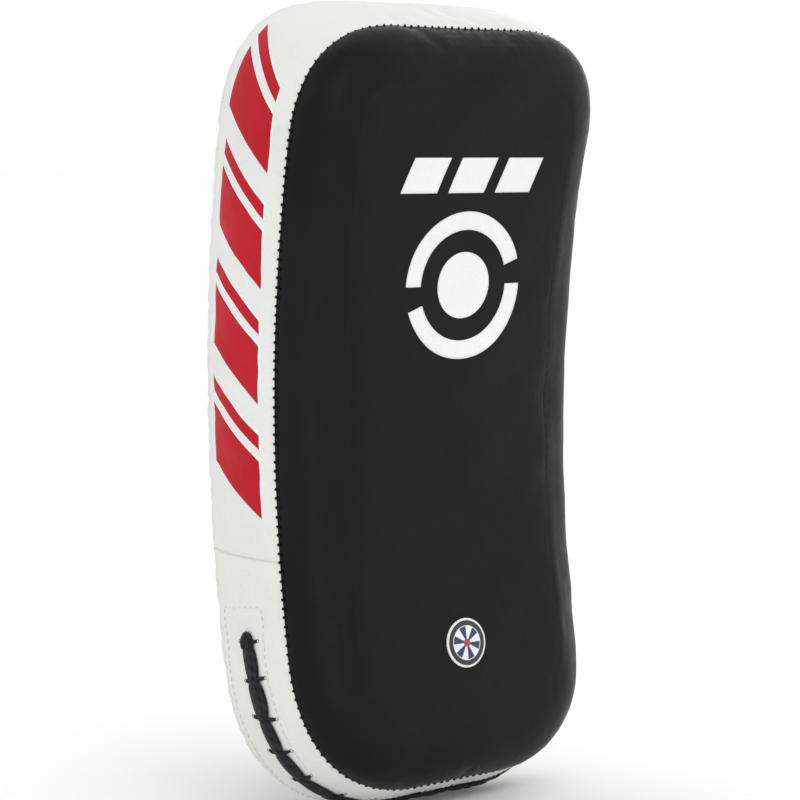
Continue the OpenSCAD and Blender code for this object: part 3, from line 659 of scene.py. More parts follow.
def side_band(name, first, last, slit, materials):
    """A strip of the side band between two stations, its seam edges rolled in, with a slit if asked."""
    stations = np.arange(first, last + 1)
    idx = stations % AROUND
    p, nrm = OUT[idx], NORMAL[idx]
    gus = half_gusset(p[:, 1])
    cols = len(stations)
    zero = np.zeros(cols)
    along = stations * PERIMETER / AROUND
    slit_run = run_at_level(SLIT_START)
    open_by = zero
    if slit:
        inside = np.minimum(along - slit_run, PERIMETER - slit_run - along)
        open_by = SLIT_HALF * np.sqrt(np.clip(inside / 5.0, 0, 1))
    ends = np.minimum(np.arange(cols), np.arange(cols)[::-1])
    end_dip = -0.75 * np.exp(-(ends / 1.0) ** 2)
    shares = -np.sin(np.linspace(math.pi / 2, 0, 16))
    is_open = open_by > 0
    verts, faces = [], []
    base = 0
    for way in (-1, 1):
        if way < 0:
            block = [band_row(p, nrm, -gus + 0.9, zero - 2.0), band_row(p, nrm, -gus + 0.4, zero - 0.8)]
        else:
            block = back_turn(p, nrm, gus, idx)
        for v in shares:
            depth = way * (abs(v) * (gus - 0.15 - open_by) + open_by)
            u = depth / gus
            away = gus - abs(depth)
            lift = seam_pucker(np.maximum(away, 0), band_row(p, nrm, depth, zero), idx, 21)
            lift = lift * (1 - np.exp(-away / 2.5))
            lift = lift + 0.5 * (1 - np.exp(-away / 6.0)) + end_dip * (1 - np.exp(-away / 1.5))
            pull = np.where(is_open, np.exp(-np.maximum(abs(depth) - open_by, 0) / 4.0), 0)
            lift = lift - 0.5 * pull * np.minimum(open_by / SLIT_HALF, 1)
            block.append(band_row(p, nrm, depth, BULGE * (1 - u * u) + lift))
        outer = len(block)
        under = way * open_by
        block.append(band_row(p, nrm, under - way * 0.25 * is_open, zero + BULGE - 0.8))
        block.append(band_row(p, nrm, under + way * 0.2 * is_open, zero + BULGE - 1.5))
        block.append(band_row(p, nrm, under + way * 0.6 * is_open, zero + BULGE - 1.7))
        inner = len(block) - 1
        block.append(band_row(p, nrm, way * gus * 0.5, zero + BULGE * 0.75 - SKIN))
        block.append(band_row(p, nrm, way * (gus - 1.2), zero - SKIN - 0.8))
        count = len(block)
        made = []
        for r in range(count):
            walled = outer - 1 <= r < inner
            nxt = (r + 1) % count
            for i in range(cols - 1):
                if walled and not (is_open[i] or is_open[i + 1]):
                    continue
                a, b = base + r * cols + i, base + nxt * cols + i
                made.append((a, a + 1, b + 1, b))
        section = [r for r in range(count) if not outer <= r < inner]
        made.append(tuple(base + r * cols for r in section[::-1])[::-1])
        made.append(tuple(base + r * cols + cols - 1 for r in section[::-1]))
        faces += made if way < 0 else [f[::-1] for f in made]
        verts.append(np.concatenate(block))
        base += count * cols
    obj = make_mesh(name, bend(np.concatenate(verts)), faces, materials)
    outward(obj.data, 2e-5)
    return obj


front = panel("front_panel", -1, [BLACK], 0.8)
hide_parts("front_cover")
back = panel("back_panel", 1, [BLACK], 0.3)
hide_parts("back_cover")
cross_station = int(round(run_at_level(CROSS_SEAM) / PERIMETER * AROUND))
upper = side_band("upper_side_band", AROUND - cross_station, AROUND + cross_station, False, [WHITE])
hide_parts("upper_gusset")
lower = side_band("lower_side_band", cross_station, AROUND - cross_station, True, [WHITE])
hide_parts("lower_gusset")
for piece, slot_name in ((front, "black_leather"), (back, "black_leather"),
                         (upper, "white_leather"), (lower, "white_leather")):
    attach(piece, "pad")


def coarse_cover(n):
    """The whole cover as one coarse closed mesh, and the points held by its seams."""
    out, normal, _, _ = smooth_outline(n)
    gus = half_gusset(out[:, 1])
    rows = []
    k = n // 8
    grids = []
    for sign in (-1, 1):
        part = []
        for a in math.pi / 2 * np.linspace(0, 1, 8) ** 1.2:
            e, depth, _ = face_profile(a, sign)
            q = out + normal * e
            part.append(np.stack([q[:, 0], sign * gus + depth, q[:, 1]], 1))
        a, b = np.meshgrid(np.arange(-k, k + 1), np.arange(-k, k + 1), indexing="ij")
        grids.append(grid_spots(part[-1], a, b, k, n, sign))
        rows.append(part)
    band = []
    for v in np.linspace(-1, 1, 9)[1:-1]:
        q = out + normal * (BULGE * (1 - v * v))
        band.append(np.stack([q[:, 0], v * gus, q[:, 1]], 1))
    ordered = rows[0][::-1] + band + rows[1]
    count = len(ordered)
    verts = np.concatenate(ordered)
    faces = band_faces(count, n)
    held = [r * n + i for r in (len(rows[0]) - 1, len(rows[0]) + len(band)) for i in range(n)]
    extra = len(verts)
    for sign, (flat, order_edge, inner) in zip((-1, 1), grids):
        order = np.full(inner.shape, -1)
        order[~inner] = (0 if sign < 0 else (count - 1) * n) + order_edge[~inner]
        order[inner] = extra + np.arange(inner.sum())
        extra += int(inner.sum())
        verts = np.concatenate([verts, flat[inner]])
        for x in range(2 * k):
            for y in range(2 * k):
                quad = (order[x, y], order[x + 1, y], order[x + 1, y + 1], order[x, y + 1])
                faces.append(quad if sign < 0 else quad[::-1])
    return bend(verts), faces, held


coarse, coarse_faces, seams = coarse_cover(192)
carried = Carried(coarse, inflate(coarse, coarse_faces, seams, 4.0, 0.006, 0.0022))
for piece in (front, back, upper, lower):
    carried.apply(piece)


def tree_of(*objects):
    """One search tree over the outer surfaces of pieces at rest."""
    verts, faces = [], []
    for o in objects:
        base = len(verts)
        verts += [v.co.copy() for v in o.data.vertices]
        faces += [tuple(i + base for i in f.vertices) for f in o.data.polygons]
    return BVHTree.FromPolygons(verts, faces)


COVER = tree_of(front, upper, lower, back)


def cling(points, normals, off):
    """Points moved along their normals on to the cover, then off it by a distance, all in metres."""
    out = np.array(points, float)
    shape = out.shape
    flat_p, flat_n = out.reshape(-1, 3), np.asarray(normals, float).reshape(-1, 3)
    for i, (p, n) in enumerate(zip(flat_p, flat_n)):
        n = Vector(n).normalized()
        hit = COVER.ray_cast(Vector(p) + n * 0.012, -n, 0.03)[0]
        if hit is not None:
            flat_p[i] = hit + n * off
    return flat_p.reshape(shape)


# ---- Thread along the seams ----

def stitch_path(parts, along, side, radius, rise):
    """One overcast stitch over a panel's seam at a distance along the outline."""
    p, n = outline_at(np.array([along - 0.55, along - 0.2, along, along + 0.2, along + 0.55]))
    gus = half_gusset(p[:, 1])
    e = np.array([-0.6, 0.15, 0.40, 0.30, -0.40]) + rise
    d = np.array([1.2, 0.7, 0.20, -0.15, -0.50])
    flat = np.stack([p[:, 0] + n[:, 0] * e, side * (gus + d), p[:, 1] + n[:, 1] * e], 1)
    up = np.stack([n[:, 0], 0 * e, n[:, 1]], 1)
    tube(parts, bend(flat), bend_direction(flat, up), radius * MM, sides=6)


def seam_thread(name, side):
    """Stitches all round where a panel meets the band."""
    parts = Parts()
    rng = np.random.RandomState(40 if side < 0 else 41)
    for k in range(STITCHES):
        jitter = rng.uniform(-0.25, 0.25)
        radius, rise = rng.uniform(0.40, 0.54), rng.uniform(-0.08, 0.08)
        stitch_path(parts, PERIMETER * k / STITCHES + jitter, side, radius, rise)
    finish_piece(parts, name, [THREAD], "pad")


seam_thread("front_seam_thread", -1)


def dashes(parts, flats, ups, length, gap, radius, rise=0.15, tag=0):
    """Even stitches along a line of flat points, each dipping in at its ends."""
    p = bend(flats)
    run = np.concatenate([[0], np.cumsum(np.linalg.norm(np.diff(p, axis=0), axis=1))]) / MM
    up = np.asarray(ups, float)
    count = int(run[-1] // (length + gap))
    for k in range(count):
        a = (k + 0.5) * run[-1] / count - length / 2
        at = a + np.linspace(0, length, 5)
        q = np.stack([np.interp(at, run, p[:, c]) for c in range(3)], 1)
        u = np.stack([np.interp(at, run, up[:, c]) for c in range(3)], 1)
        u /= np.linalg.norm(u, axis=1)[:, None]
        q = cling(q, u, rise * MM)
        q = q + u * (np.array([-0.45, 0, 0.05, 0, -0.45]) * MM)[:, None]
        tube(parts, q, u, radius * MM, sides=6, tag=tag)


SLIT_RUN = run_at_level(SLIT_START)
SLIT_LENGTH = PERIMETER - 2 * SLIT_RUN
FACING_TOP = -96.5


def facing_stitches():
    """Pale stitching that holds the lacing facing: a row each side of the slit, and one across each end."""
    parts = Parts()
    top = run_at_level(FACING_TOP)
    along = np.linspace(top, PERIMETER - top, 700)
    for depth in (-11.5, 18.5):
        depth_here = depth + 0.25 * waves(along[:, None] * [1, 0, 0], 60.0, 61)
        flat = band_flat(along, depth_here)
        dashes(parts, flat, band_normal(along), 2.5, 1.3, 0.26)
    for end in (top, PERIMETER - top):
        depth = np.linspace(-11.5, 18.5, 40)
        flat = band_flat(np.full(40, end), depth)
        dashes(parts, flat, band_normal(np.full(40, end)), 2.5, 1.3, 0.26)
    finish_piece(parts, "facing_stitches", [PALE_THREAD], "pad")


facing_stitches()


# ---- Lace ----

def lace_lift(along):
    """Depth of the lace's middle line, wandering a little off the slit."""
    t = np.clip((along - SLIT_RUN) / SLIT_LENGTH, 0, 1)
    return -1.2 - 2.6 * np.sin(math.pi * t) + 0.4 * np.sin(along * 0.09)


def lace_ribbon(parts, way):
    """One flat lace from end to end, bowing out between the waists and passing over or under at each."""
    pitch = SLIT_LENGTH / LACE_PITCHES
    per = 16
    count = LACE_PITCHES * per + 1
    along = SLIT_RUN + np.linspace(0, SLIT_LENGTH, count)
    phase = (along - SLIT_RUN) / pitch * math.pi
    rng = np.random.RandomState(70)
    swell = np.repeat(rng.uniform(0.88, 1.12, LACE_PITCHES + 1), per)[:count]
    bow = np.sin(phase)
    side = way * 2.75 * np.sign(bow) * abs(bow) ** 0.45 * swell
    waist = np.exp(-((np.mod(along - SLIT_RUN + pitch / 2, pitch) - pitch / 2) / 2.3) ** 2)
    over = np.where(np.round((along - SLIT_RUN) / pitch) % 2 == 0, way, -way)
    height = 1.25 + 0.75 * waist * over * 0.6 + 0.35 * waist + 0.25 * abs(bow)
    width = 3.15 * (1 - 0.28 * waist) * swell
    flat = band_flat(along, lace_lift(along) + side)
    up = band_normal(along)
    centre = cling(bend(flat), up, 0.0)
    base = band_flat(along, lace_lift(along) + side)
    centre = np.where((np.linalg.norm(centre - bend(base), axis=1) > 0.0015)[:, None], bend(base), centre)
    for _ in range(2):
        centre[1:-1] = (centre[:-2] + 2 * centre[1:-1] + centre[2:]) / 4
    centre = centre + up * (height * MM)[:, None]
    t = np.gradient(centre, axis=0)
    t /= np.linalg.norm(t, axis=1)[:, None]
    across = np.cross(t, up)
    across /= np.linalg.norm(across, axis=1)[:, None]
    lift = np.cross(across, t)
    tilt = way * 0.35 * np.sign(bow) * abs(bow)
    a2 = across * np.cos(tilt)[:, None] + lift * np.sin(tilt)[:, None]
    l2 = -across * np.sin(tilt)[:, None] + lift * np.cos(tilt)[:, None]
    shape = [(-1, 0), (-0.88, 0.55), (-0.55, 0.9), (-0.2, 0.72), (0, 0.8), (0.2, 0.72), (0.55, 0.9),
             (0.88, 0.55), (1, 0), (0.85, -0.6), (0.4, -0.8), (0, -0.8), (-0.4, -0.8), (-0.85, -0.6)]
    shape = np.array(shape)[::-1]
    ring = centre[:, None] + shape[None, :, :1] * a2[:, None] * (width * MM)[:, None, None] \
        + shape[None, :, 1:] * l2[:, None] * 0.85 * MM
    sides = len(shape)
    uv = np.stack([np.broadcast_to(shape[:, 0] * 0.0021, (count, sides)),
                   np.broadcast_to(along[:, None] * MM, (count, sides))], -1)
    parts.add(ring, capped(count, sides), 0, uv)


def lace_arms(parts):
    """Short lace arms from each waist out to the holes beside the slit, and a dark ring at each for its punched
    hole: the black lace seen in the hole, and painted shade on the hole's rim.
    """
    pitch = SLIT_LENGTH / LACE_PITCHES
    rng = np.random.RandomState(71)
    for k in range(LACE_PITCHES + 1):
        waist = SLIT_RUN + k * pitch
        for way in (-1, 1):
            reach = rng.uniform(6.4, 7.8)
            slant = rng.uniform(-2.2, 2.2)
            along = waist + np.linspace(0, 1, 8) * slant
            depth = lace_lift(np.full(8, waist)) + way * np.linspace(0.2, reach, 8)
            rise = np.array([1.5, 1.55, 1.4, 1.2, 1.05, 0.9, 0.45, -0.7])
            up = band_normal(along)
            p = cling(bend(band_flat(along, depth)), up, 0.0)
            flat_p = bend(band_flat(along, depth))
            p = np.where((np.linalg.norm(p - flat_p, axis=1) > 0.0015)[:, None], flat_p, p)
            p = p + up * (rise * MM)[:, None]
            radii = rng.uniform(1.0, 1.3) * np.array([1, 1.0, 1.0, 0.98, 0.95, 0.9, 0.8, 0.6]) * MM
            tube(parts, p, up, radii, sides=10, flat=0.62)
            hole_shade_ring(parts, along[-1], depth[-1] + way * 0.5)


def hole_shade_ring(parts, along, depth):
    """Rim of a punched hole: a small dark ring of lace material pressed on to the band, which has no opening
    cut; it stands for the black lace seen in the hole and for painted shade on the hole's inner wall.
    """
    a = np.linspace(0, 2 * math.pi, 13)[:-1]
    at = np.full(12, along) + 0.8 * np.cos(a)
    up = band_normal(at)
    p = cling(bend(band_flat(at, depth + 0.8 * np.sin(a))), up, 0.02 * MM)
    closed = np.concatenate([p, p[:1]])
    # The ring is drawn in the lace's black: painted shade of the hole's rim round the lace.
    tube(parts, closed, np.concatenate([up, up[:1]]), 0.16 * MM, sides=5)


def lace_ends(parts):
    """A rounded knot at each end of the slit, with two turns of lace round it."""
    for way in (0, 1):
        along = SLIT_RUN - 2.5 if way == 0 else PERIMETER - SLIT_RUN + 2.5
        sense = 1 if way == 0 else -1
        for lift, size, reach, wide in ((1.5, 2.3, 4.6, 2.6), (3.0, 2.0, 3.4, 1.6)):
            a = np.linspace(-2.0, 2.0, 17)
            at = along + sense * (3.2 - np.cos(a) * reach)
            depth = lace_lift(np.full(17, along)) + np.sin(a) * wide
            up = band_normal(at)
            p = bend(band_flat(at, depth)) + up * (lift * MM)
            tube(parts, p, up, size * MM * np.interp(abs(a), [0, 1.9], [1.0, 0.7]), sides=10, flat=0.7)


def lace():
    parts = Parts()
    lace_ribbon(parts, 1)
    lace_ribbon(parts, -1)
    lace_arms(parts)
    lace_ends(parts)
    finish_piece(parts, "lace", [LACE], "pad",
                 ["lace_strand_a", "lace_strand_b", "lace_knot_left", "lace_knot_right"])


lace()


# ---- Printed films and the badge ----

def film(parts, points, normals, thick=0.3, tag=0):
    """A thin plate over a grid of points and normals, pressed on to the cover, with closed sides."""
    points, normals = np.asarray(points), np.asarray(normals)
    rows, cols = points.shape[:2]
    top = cling(points, normals, thick * MM)
    low = cling(points, normals, -0.2 * MM)
    count = rows * cols
    faces = []
    for r in range(rows - 1):
        for c in range(cols - 1):
            i = r * cols + c
            faces.append((i, i + 1, i + cols + 1, i + cols))
            faces.append((count + i, count + i + cols, count + i + cols + 1, count + i + 1))
    rim = list(range(cols)) + [r * cols + cols - 1 for r in range(1, rows)]
    rim += [(rows - 1) * cols + c for c in range(cols - 2, -1, -1)] + [r * cols for r in range(rows - 2, 0, -1)]
    for a, b in zip(rim, rim[1:] + rim[:1]):
        faces.append((b, a, count + a, count + b))
    parts.add(np.concatenate([top.reshape(-1, 3), low.reshape(-1, 3)]), faces, tag)


def face_points(xs, ss):
    flat = np.stack([xs, -half_gusset(ss) - CROWN, ss], -1)
    return bend(flat), bend_direction(flat, np.stack([0 * xs, -1 + 0 * xs, 0 * xs], -1))


def slanted_bar(parts, x, width, low, high, lean, tag=0):
    """A bar on the face between two levels, leaning sideways."""
    v, u = np.meshgrid(np.linspace(0, 1, 14), np.linspace(0, 1, 18), indexing="ij")
    s = low + (high - low) * v
    film(parts, *face_points(x + u * width + lean * v, s), tag=tag)


def face_marks():
    """Plain white shapes on the strike face: three slanted bars over a target."""
    bars = Parts()
    for k in (-1, 0, 1):
        slanted_bar(bars, 5 + 33 * k - 17, 25, 116, 135, 8)
    finish_piece(bars, "face_bars", [FILM], "pad", ["face_stripes"])
    target = Parts()
    for start in (20, 200):
        angles = np.radians(np.linspace(start, start + 160, 60))
        a, r = np.meshgrid(angles, np.linspace(40, 30, 7), indexing="ij")
        film(target, *face_points(4 + r * np.cos(a), 66 + r * np.sin(a)))
    v, u = np.meshgrid(np.linspace(-1, 1, 29), np.linspace(-1, 1, 29), indexing="ij")
    disc_x, disc_s = u * np.sqrt(1 - v * v / 2), v * np.sqrt(1 - u * u / 2)
    film(target, *face_points(4 + 18 * disc_x, 66 + 18 * disc_s))
    finish_piece(target, "face_target_rings", [FILM], "pad", ["face_target"])


face_marks()


def side_blocks(way):
    """Slanted red blocks up one side band, each with a slim stroke, edged in bright white."""
    parts = Parts()
    middle = run_at_level(0)
    gus = 25.0

    def block(low, long, grow, lift, tag):
        u, v = np.meshgrid(np.linspace(0, 1, 26), np.linspace(-1, 1, 20), indexing="ij")
        depth = v * (0.66 * gus + grow)
        along = low + grow - (long + 2 * grow) * u - 14 * v
        here = along if way > 0 else PERIMETER - along
        p, normals = bend(band_flat(here, depth)), band_normal(here)
        if way > 0:
            p, normals = p[:, ::-1], normals[:, ::-1]
        film(parts, p, normals, thick=lift, tag=tag)

    for k in range(4):
        low = middle + 38 - 58 * k
        for start, long in ((low, 29), (low - 35, 7)):
            block(start, long, 0.8, 0.22, 1)
            block(start, long, 0.0, 0.40, 0)
    name = "side_blocks_right" if way > 0 else "side_blocks_left"
    printed = "side_print_right" if way > 0 else "side_print_left"
    finish_piece(parts, name, [RED, BORDER], "pad", [printed])


side_blocks(-1)
side_blocks(1)


def badge():
    """Domed round badge: white rim, plain black band, and a wheel of blue and white wedges."""
    centre_x, centre_s = 1.0, -128.0
    rings = [0.0, 2.2, 4.4, 6.6, 8.6, 9.0, 9.4, 10.6, 11.8, 12.2, 12.7, 13.2, 13.4, 13.4]
    sectors = 96
    heights = [1.0 - 0.35 * (r / rings[-1]) ** 2 for r in rings]
    heights[-3], heights[-2], heights[-1] = 0.60, 0.42, -0.25
    verts = [face_points(np.array(centre_x), np.array(centre_s))]
    a = np.arange(sectors) * 2 * math.pi / sectors
    grid = []
    for r, h in zip(rings, heights):
        p, n = face_points(centre_x + r * np.cos(a), centre_s + r * np.sin(a))
        grid.append(cling(p, n, 0.0) + n * (h * MM))
    middle_low = cling(*[np.asarray(v)[None] for v in verts[0]], -0.25 * MM)[0]
    middle_top = grid[0][0]
    pts = np.concatenate([[middle_top], np.concatenate(grid[1:]), [middle_low]])
    faces, tags = [], []

    def at(r, i):
        return 1 + (r - 1) * sectors + i % sectors

    def colour(r, i):
        radius = (rings[r] + rings[r + 1]) / 2
        if radius > 12.0:
            return 2
        if radius > 9.2:
            return 3
        if radius > 8.8:
            return 2
        if radius < 2.2:
            return 1
        return 0 if i // 8 % 2 else 2

    for i in range(sectors):
        faces.append((0, at(1, i), at(1, i + 1)))
        tags.append(colour(0, i))
    for r in range(1, len(rings) - 1):
        for i in range(sectors):
            faces.append((at(r, i), at(r + 1, i), at(r + 1, i + 1), at(r, i + 1)))
            tags.append(colour(r, i))
    last = len(rings) - 1
    for i in range(sectors):
        faces.append((at(last, i + 1), at(last, i), len(pts) - 1))
        tags.append(3)
    obj = make_mesh("badge", pts, faces, [BADGE_BLUE, BADGE_RED, BADGE_WHITE, BADGE_BLACK], True, tags)
    set_uv(obj, np.zeros((len(pts), 2)))
    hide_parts("round_badge")
    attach(obj, "pad")


badge()


# ---- Straps, rings and grip on the back, in the frame of the back panel ----

GAP, STRAP_T, LOOP_T, FOOT_R = 0.4, 2.4, 1.4, 5.0
ARCH_HALF, ARCH_TOP, TURN_R = 55.0, 60.0, 4.6
RING_X, RING_Y, RING_SPAN, RING_WIRE = ARCH_HALF + 4.6, 4.2, 12.5, 4.0
BAR_Y = RING_Y + RING_SPAN
STRAP_Y = GAP + STRAP_T / 2
STRAP_HALF = 25.0
STRAPS = {"lower": -75.0, "upper": 25.0}
GRIP_AT, GRIP_Y, GRIP_LENGTH, GRIP_R, CORE_R, LUG_R = 130.0, 40.0, 104.0, 14.5, 6.0, 12.5


def placed(matrix, local):
    """Local millimetres on the back panel to metres in the frame."""
    local = np.asarray(local, float)
    m = np.array(matrix)
    return local @ (m[:3, :3].T * MM) + m[:3, 3]


def arch(t, low):
    t = np.radians(t)
    return np.stack([ARCH_HALF * np.cos(t) ** 0.8, low + (ARCH_TOP - low) * np.sin(t) ** 0.8], -1)


def resample(path, step):
    path = np.asarray(path, float)
    run = np.concatenate([[0], np.cumsum(np.linalg.norm(np.diff(path, axis=0), axis=1))])
    at = np.linspace(0, run[-1], max(3, int(run[-1] / step) + 1))
    out = np.stack([np.interp(at, run, path[:, k]) for k in range(path.shape[1])], 1)
    for _ in range(2):
        out[1:-1] = (out[:-2] + 2 * out[1:-1] + out[2:]) / 4
    return out


def left_of(path):
    t = np.gradient(path, axis=0)
    t /= np.linalg.norm(t, axis=1)[:, None]
    return np.stack([-t[:, 1], t[:, 0]], 1)


def strap_route():
    foot = [(-ARCH_HALF - FOOT_R + FOOT_R * math.cos(a), STRAP_Y + FOOT_R + FOOT_R * math.sin(a))
            for a in np.radians(np.arange(-90, -9, 10))]
    left = arch(np.arange(0, 91, 2), STRAP_Y + FOOT_R) * [-1, 1]
    right = arch(np.arange(88, -1, -2), BAR_Y)
    angles = np.radians(np.arange(192, 349, 12))
    turn = [(RING_X + TURN_R * math.cos(a), BAR_Y + TURN_R * math.sin(a)) for a in angles]
    path = [[(-88, STRAP_Y)], foot, left, right, turn, [(RING_X + TURN_R, BAR_Y)]]
    return resample(np.concatenate(path), 1.5)


def flap_route():
    t = np.arange(0, 73, 2.0)
    base = arch(t, BAR_Y)
    near = STRAP_T + 2 * LOOP_T + GAP
    off = -near - (TURN_R * 2 - near) * np.maximum(0, 1 - t / 40) ** 2
    middle = base + left_of(base) * off[:, None]
    x = RING_X + TURN_R
    start = [(x, BAR_Y + 0.8), (x, BAR_Y + 3.8)]
    return resample(np.concatenate([start, middle[middle[:, 1] > BAR_Y + 6]]), 1.5)


def ribbon(parts, matrix, path, half, thick, tag=0, seed=5, wavy=0.25, corner=0.0):
    """A woven or leather strip along a path in the local XY plane, its width along Z, with rounded edges."""
    path = np.asarray(path, float)
    n = len(path)
    half = np.broadcast_to(half, n).astype(float).copy()
    lift = left_of(path)
    run = np.concatenate([[0], np.cumsum(np.linalg.norm(np.diff(path, axis=0), axis=1))])
    if corner:
        for end in (run, run[-1] - run):
            near = np.clip(end / corner, 0, 1)
            half -= corner * (1 - np.sqrt(1 - (1 - near) ** 2))
    k = 12
    u = np.linspace(-1, 1, 2 * k + 1)
    edge = 0.86 + 0.14 * np.sqrt(np.clip(1 - abs(u) ** 14, 0, 1))
    top = np.stack([u, edge * np.clip(1 - abs(u) ** 30, 0.15, 1)], 1)
    loop = np.concatenate([top, (top * [1, -1])[::-1]])
    sides = len(loop)
    rng = np.random.RandomState(seed)
    sway = wavy * (np.sin(run / 9.0 + rng.uniform(0, 6)) + 0.6 * np.sin(run / 4.1 + rng.uniform(0, 6)))
    z = loop[None, :, 0] * half[:, None] + sway[:, None] * loop[None, :, 0] * 0.6
    cup = 0.25 * wavy * np.sin(run / 13.0)[:, None] * (loop[None, :, 0] ** 2 - 0.4)
    y = loop[None, :, 1] * thick / 2 + cup
    p = path[:, None] + lift[:, None] * y[..., None]
    local = np.concatenate([p, z[..., None]], -1)
    uv = np.stack([z * MM, np.broadcast_to(run[:, None] * MM, z.shape)], -1)
    faces = quads(n, sides)
    for r in (0, n - 1):
        for i in range(2 * k):
            a, d = r * sides + i, r * sides + sides - 1 - i
            faces.append((a, a + 1, d - 1, d))
    parts.add(placed(matrix, local), faces, tag, uv)


def local_dashes(parts, matrix, path, up, length=2.6, gap=1.2, radius=0.28, tag=0):
    """Stitches along local points lying on a surface, each end dipping in."""
    path = np.asarray(path, float)
    up = np.broadcast_to(up, path.shape).astype(float)
    run = np.concatenate([[0], np.cumsum(np.linalg.norm(np.diff(path, axis=0), axis=1))])
    count = max(1, int(run[-1] // (length + gap)))
    rot = np.array(matrix)[:3, :3]
    for k in range(count):
        a = (k + 0.5) * run[-1] / count - length / 2
        at = a + np.linspace(0, length, 5)
        q = np.stack([np.interp(at, run, path[:, c]) for c in range(3)], 1)
        u = np.stack([np.interp(at, run, up[:, c]) for c in range(3)], 1)
        u /= np.linalg.norm(u, axis=1)[:, None]
        q = q + u * (np.array([-0.5, 0.05, 0.12, 0.05, -0.5]))[:, None]
        tube(parts, placed(matrix, q), u @ rot.T, radius * MM, sides=6, tag=tag)


def box_route(cx, cz, w, l, r, y):
    """Rounded rectangle in the local XZ plane at a height."""
    pts = []
    for sx, sz, start in ((1, 1, 0), (-1, 1, 90), (-1, -1, 180), (1, -1, 270)):
        for a in np.radians(start + np.arange(0, 91, 15)):
            pts.append((cx + sx * (w / 2 - r) + r * math.cos(a), y, cz + sz * (l / 2 - r) + r * math.sin(a)))
    pts.append(pts[0])
    return np.array(pts)


def sewn_plate(parts, matrix, cx, cz, w, l, low, high, r=3.0, crown=0.35, tag=0):
    """A leather plate with rounded corners and edges and a soft crown."""
    rings = [(-0.35, low), (0.0, low + 0.25), (0.05, (low + high) / 2), (-0.25, high - 0.22), (-0.8, high),
             (-2.0, high - 0.05), (-3.0, high - 0.28), (-4.0, high), (-6.0, high + crown * 0.6),
             (-min(w, l) / 2 + 0.6, high + crown)]
    loops = []
    for inset, y in rings:
        wide, tall = w + 2 * inset, l + 2 * inset
        rr = min(max(0.3, r + inset), wide / 2 - 0.02)
        loops.append(box_route(cx, cz, wide, tall, rr, y)[:-1])
    parts.add(placed(matrix, np.concatenate(loops)), capped(len(loops), len(loops[0])), tag)


def rivet(matrix, name, x, z, y, node_name, body="pad"):
    """Capped rivet: a domed head with a rolled rim and a dimple, on a short shank."""
    profile = [(0, 2.1), (0.7, 2.07), (1.5, 1.93), (2.3, 1.66), (2.9, 1.3), (3.15, 1.12), (3.3, 1.06),
               (3.6, 1.08), (3.88, 0.92), (4.0, 0.62), (3.92, 0.3), (3.7, 0.08), (3.3, 0.0), (1.6, 0.0),
               (1.6, GAP - y)]
    parts = Parts()
    sides = 32
    a = circle(sides)
    verts = [[x, y + profile[0][1], z]]
    for r, h in profile[1:]:
        verts += [[x + r * math.cos(b), y + h, z + r * math.sin(b)] for b in a]
    faces = [(0, 1 + (i + 1) % sides, 1 + i) for i in range(sides)]
    for k in range(len(profile) - 2):
        for i in range(sides):
            j = (i + 1) % sides
            b0, b1 = 1 + k * sides, 1 + (k + 1) * sides
            faces.append((b0 + i, b0 + j, b1 + j, b1 + i))
    faces.append(tuple(1 + (len(profile) - 2) * sides + i for i in range(sides)))
    parts.add(placed(matrix, np.array(verts)), faces)
    finish_piece(parts, name, [STEEL], body, [node_name])


def steel_loop(matrix, place):
    """The loop of round wire with a small weld bead on its fixed bar."""
    r, long, short = 4.0, STRAP_HALF + 3, RING_SPAN / 2
    pts = []
    for cy, cz, start in ((1, 1, 0), (-1, 1, 90), (-1, -1, 180), (1, -1, 270)):
        for a in np.radians(start + np.arange(0, 91, 10)):
            pts.append((RING_X, RING_Y + short + cy * (short - r) + r * math.cos(a),
                        cz * (long - r) + r * math.sin(a)))
    pts = np.array(pts)
    loop = resample(np.concatenate([pts, pts[:1]]), 1.2)
    n = len(loop) - 1
    loop = loop[:n]
    t = np.roll(loop, -1, 0) - np.roll(loop, 1, 0)
    t /= np.linalg.norm(t, axis=1)[:, None]
    side = np.array([1.0, 0, 0])
    lift = np.cross(t, side)
    sides = 16
    a = circle(sides)
    bead = 1 + 0.10 * np.exp(-((loop[:, 2] - 9) / 0.9) ** 2) * (loop[:, 1] < RING_Y + 1)
    ring = loop[:, None] + (RING_WIRE / 2 * bead)[:, None, None] * (
        np.cos(a)[None, :, None] * side + np.sin(a)[None, :, None] * lift[:, None])
    faces = [(r0 * sides + i, r0 * sides + (i + 1) % sides, ((r0 + 1) % n) * sides + (i + 1) % sides,
              ((r0 + 1) % n) * sides + i) for r0 in range(n) for i in range(sides)]
    parts = Parts()
    parts.add(placed(matrix, ring), [f[::-1] for f in faces])
    finish_piece(parts, place + "_steel_loop", [STEEL], place + "_ring", [place + "_ring"])


SEWN = STRAP_HALF - 4.6    # where a strap's two lines of stitching run


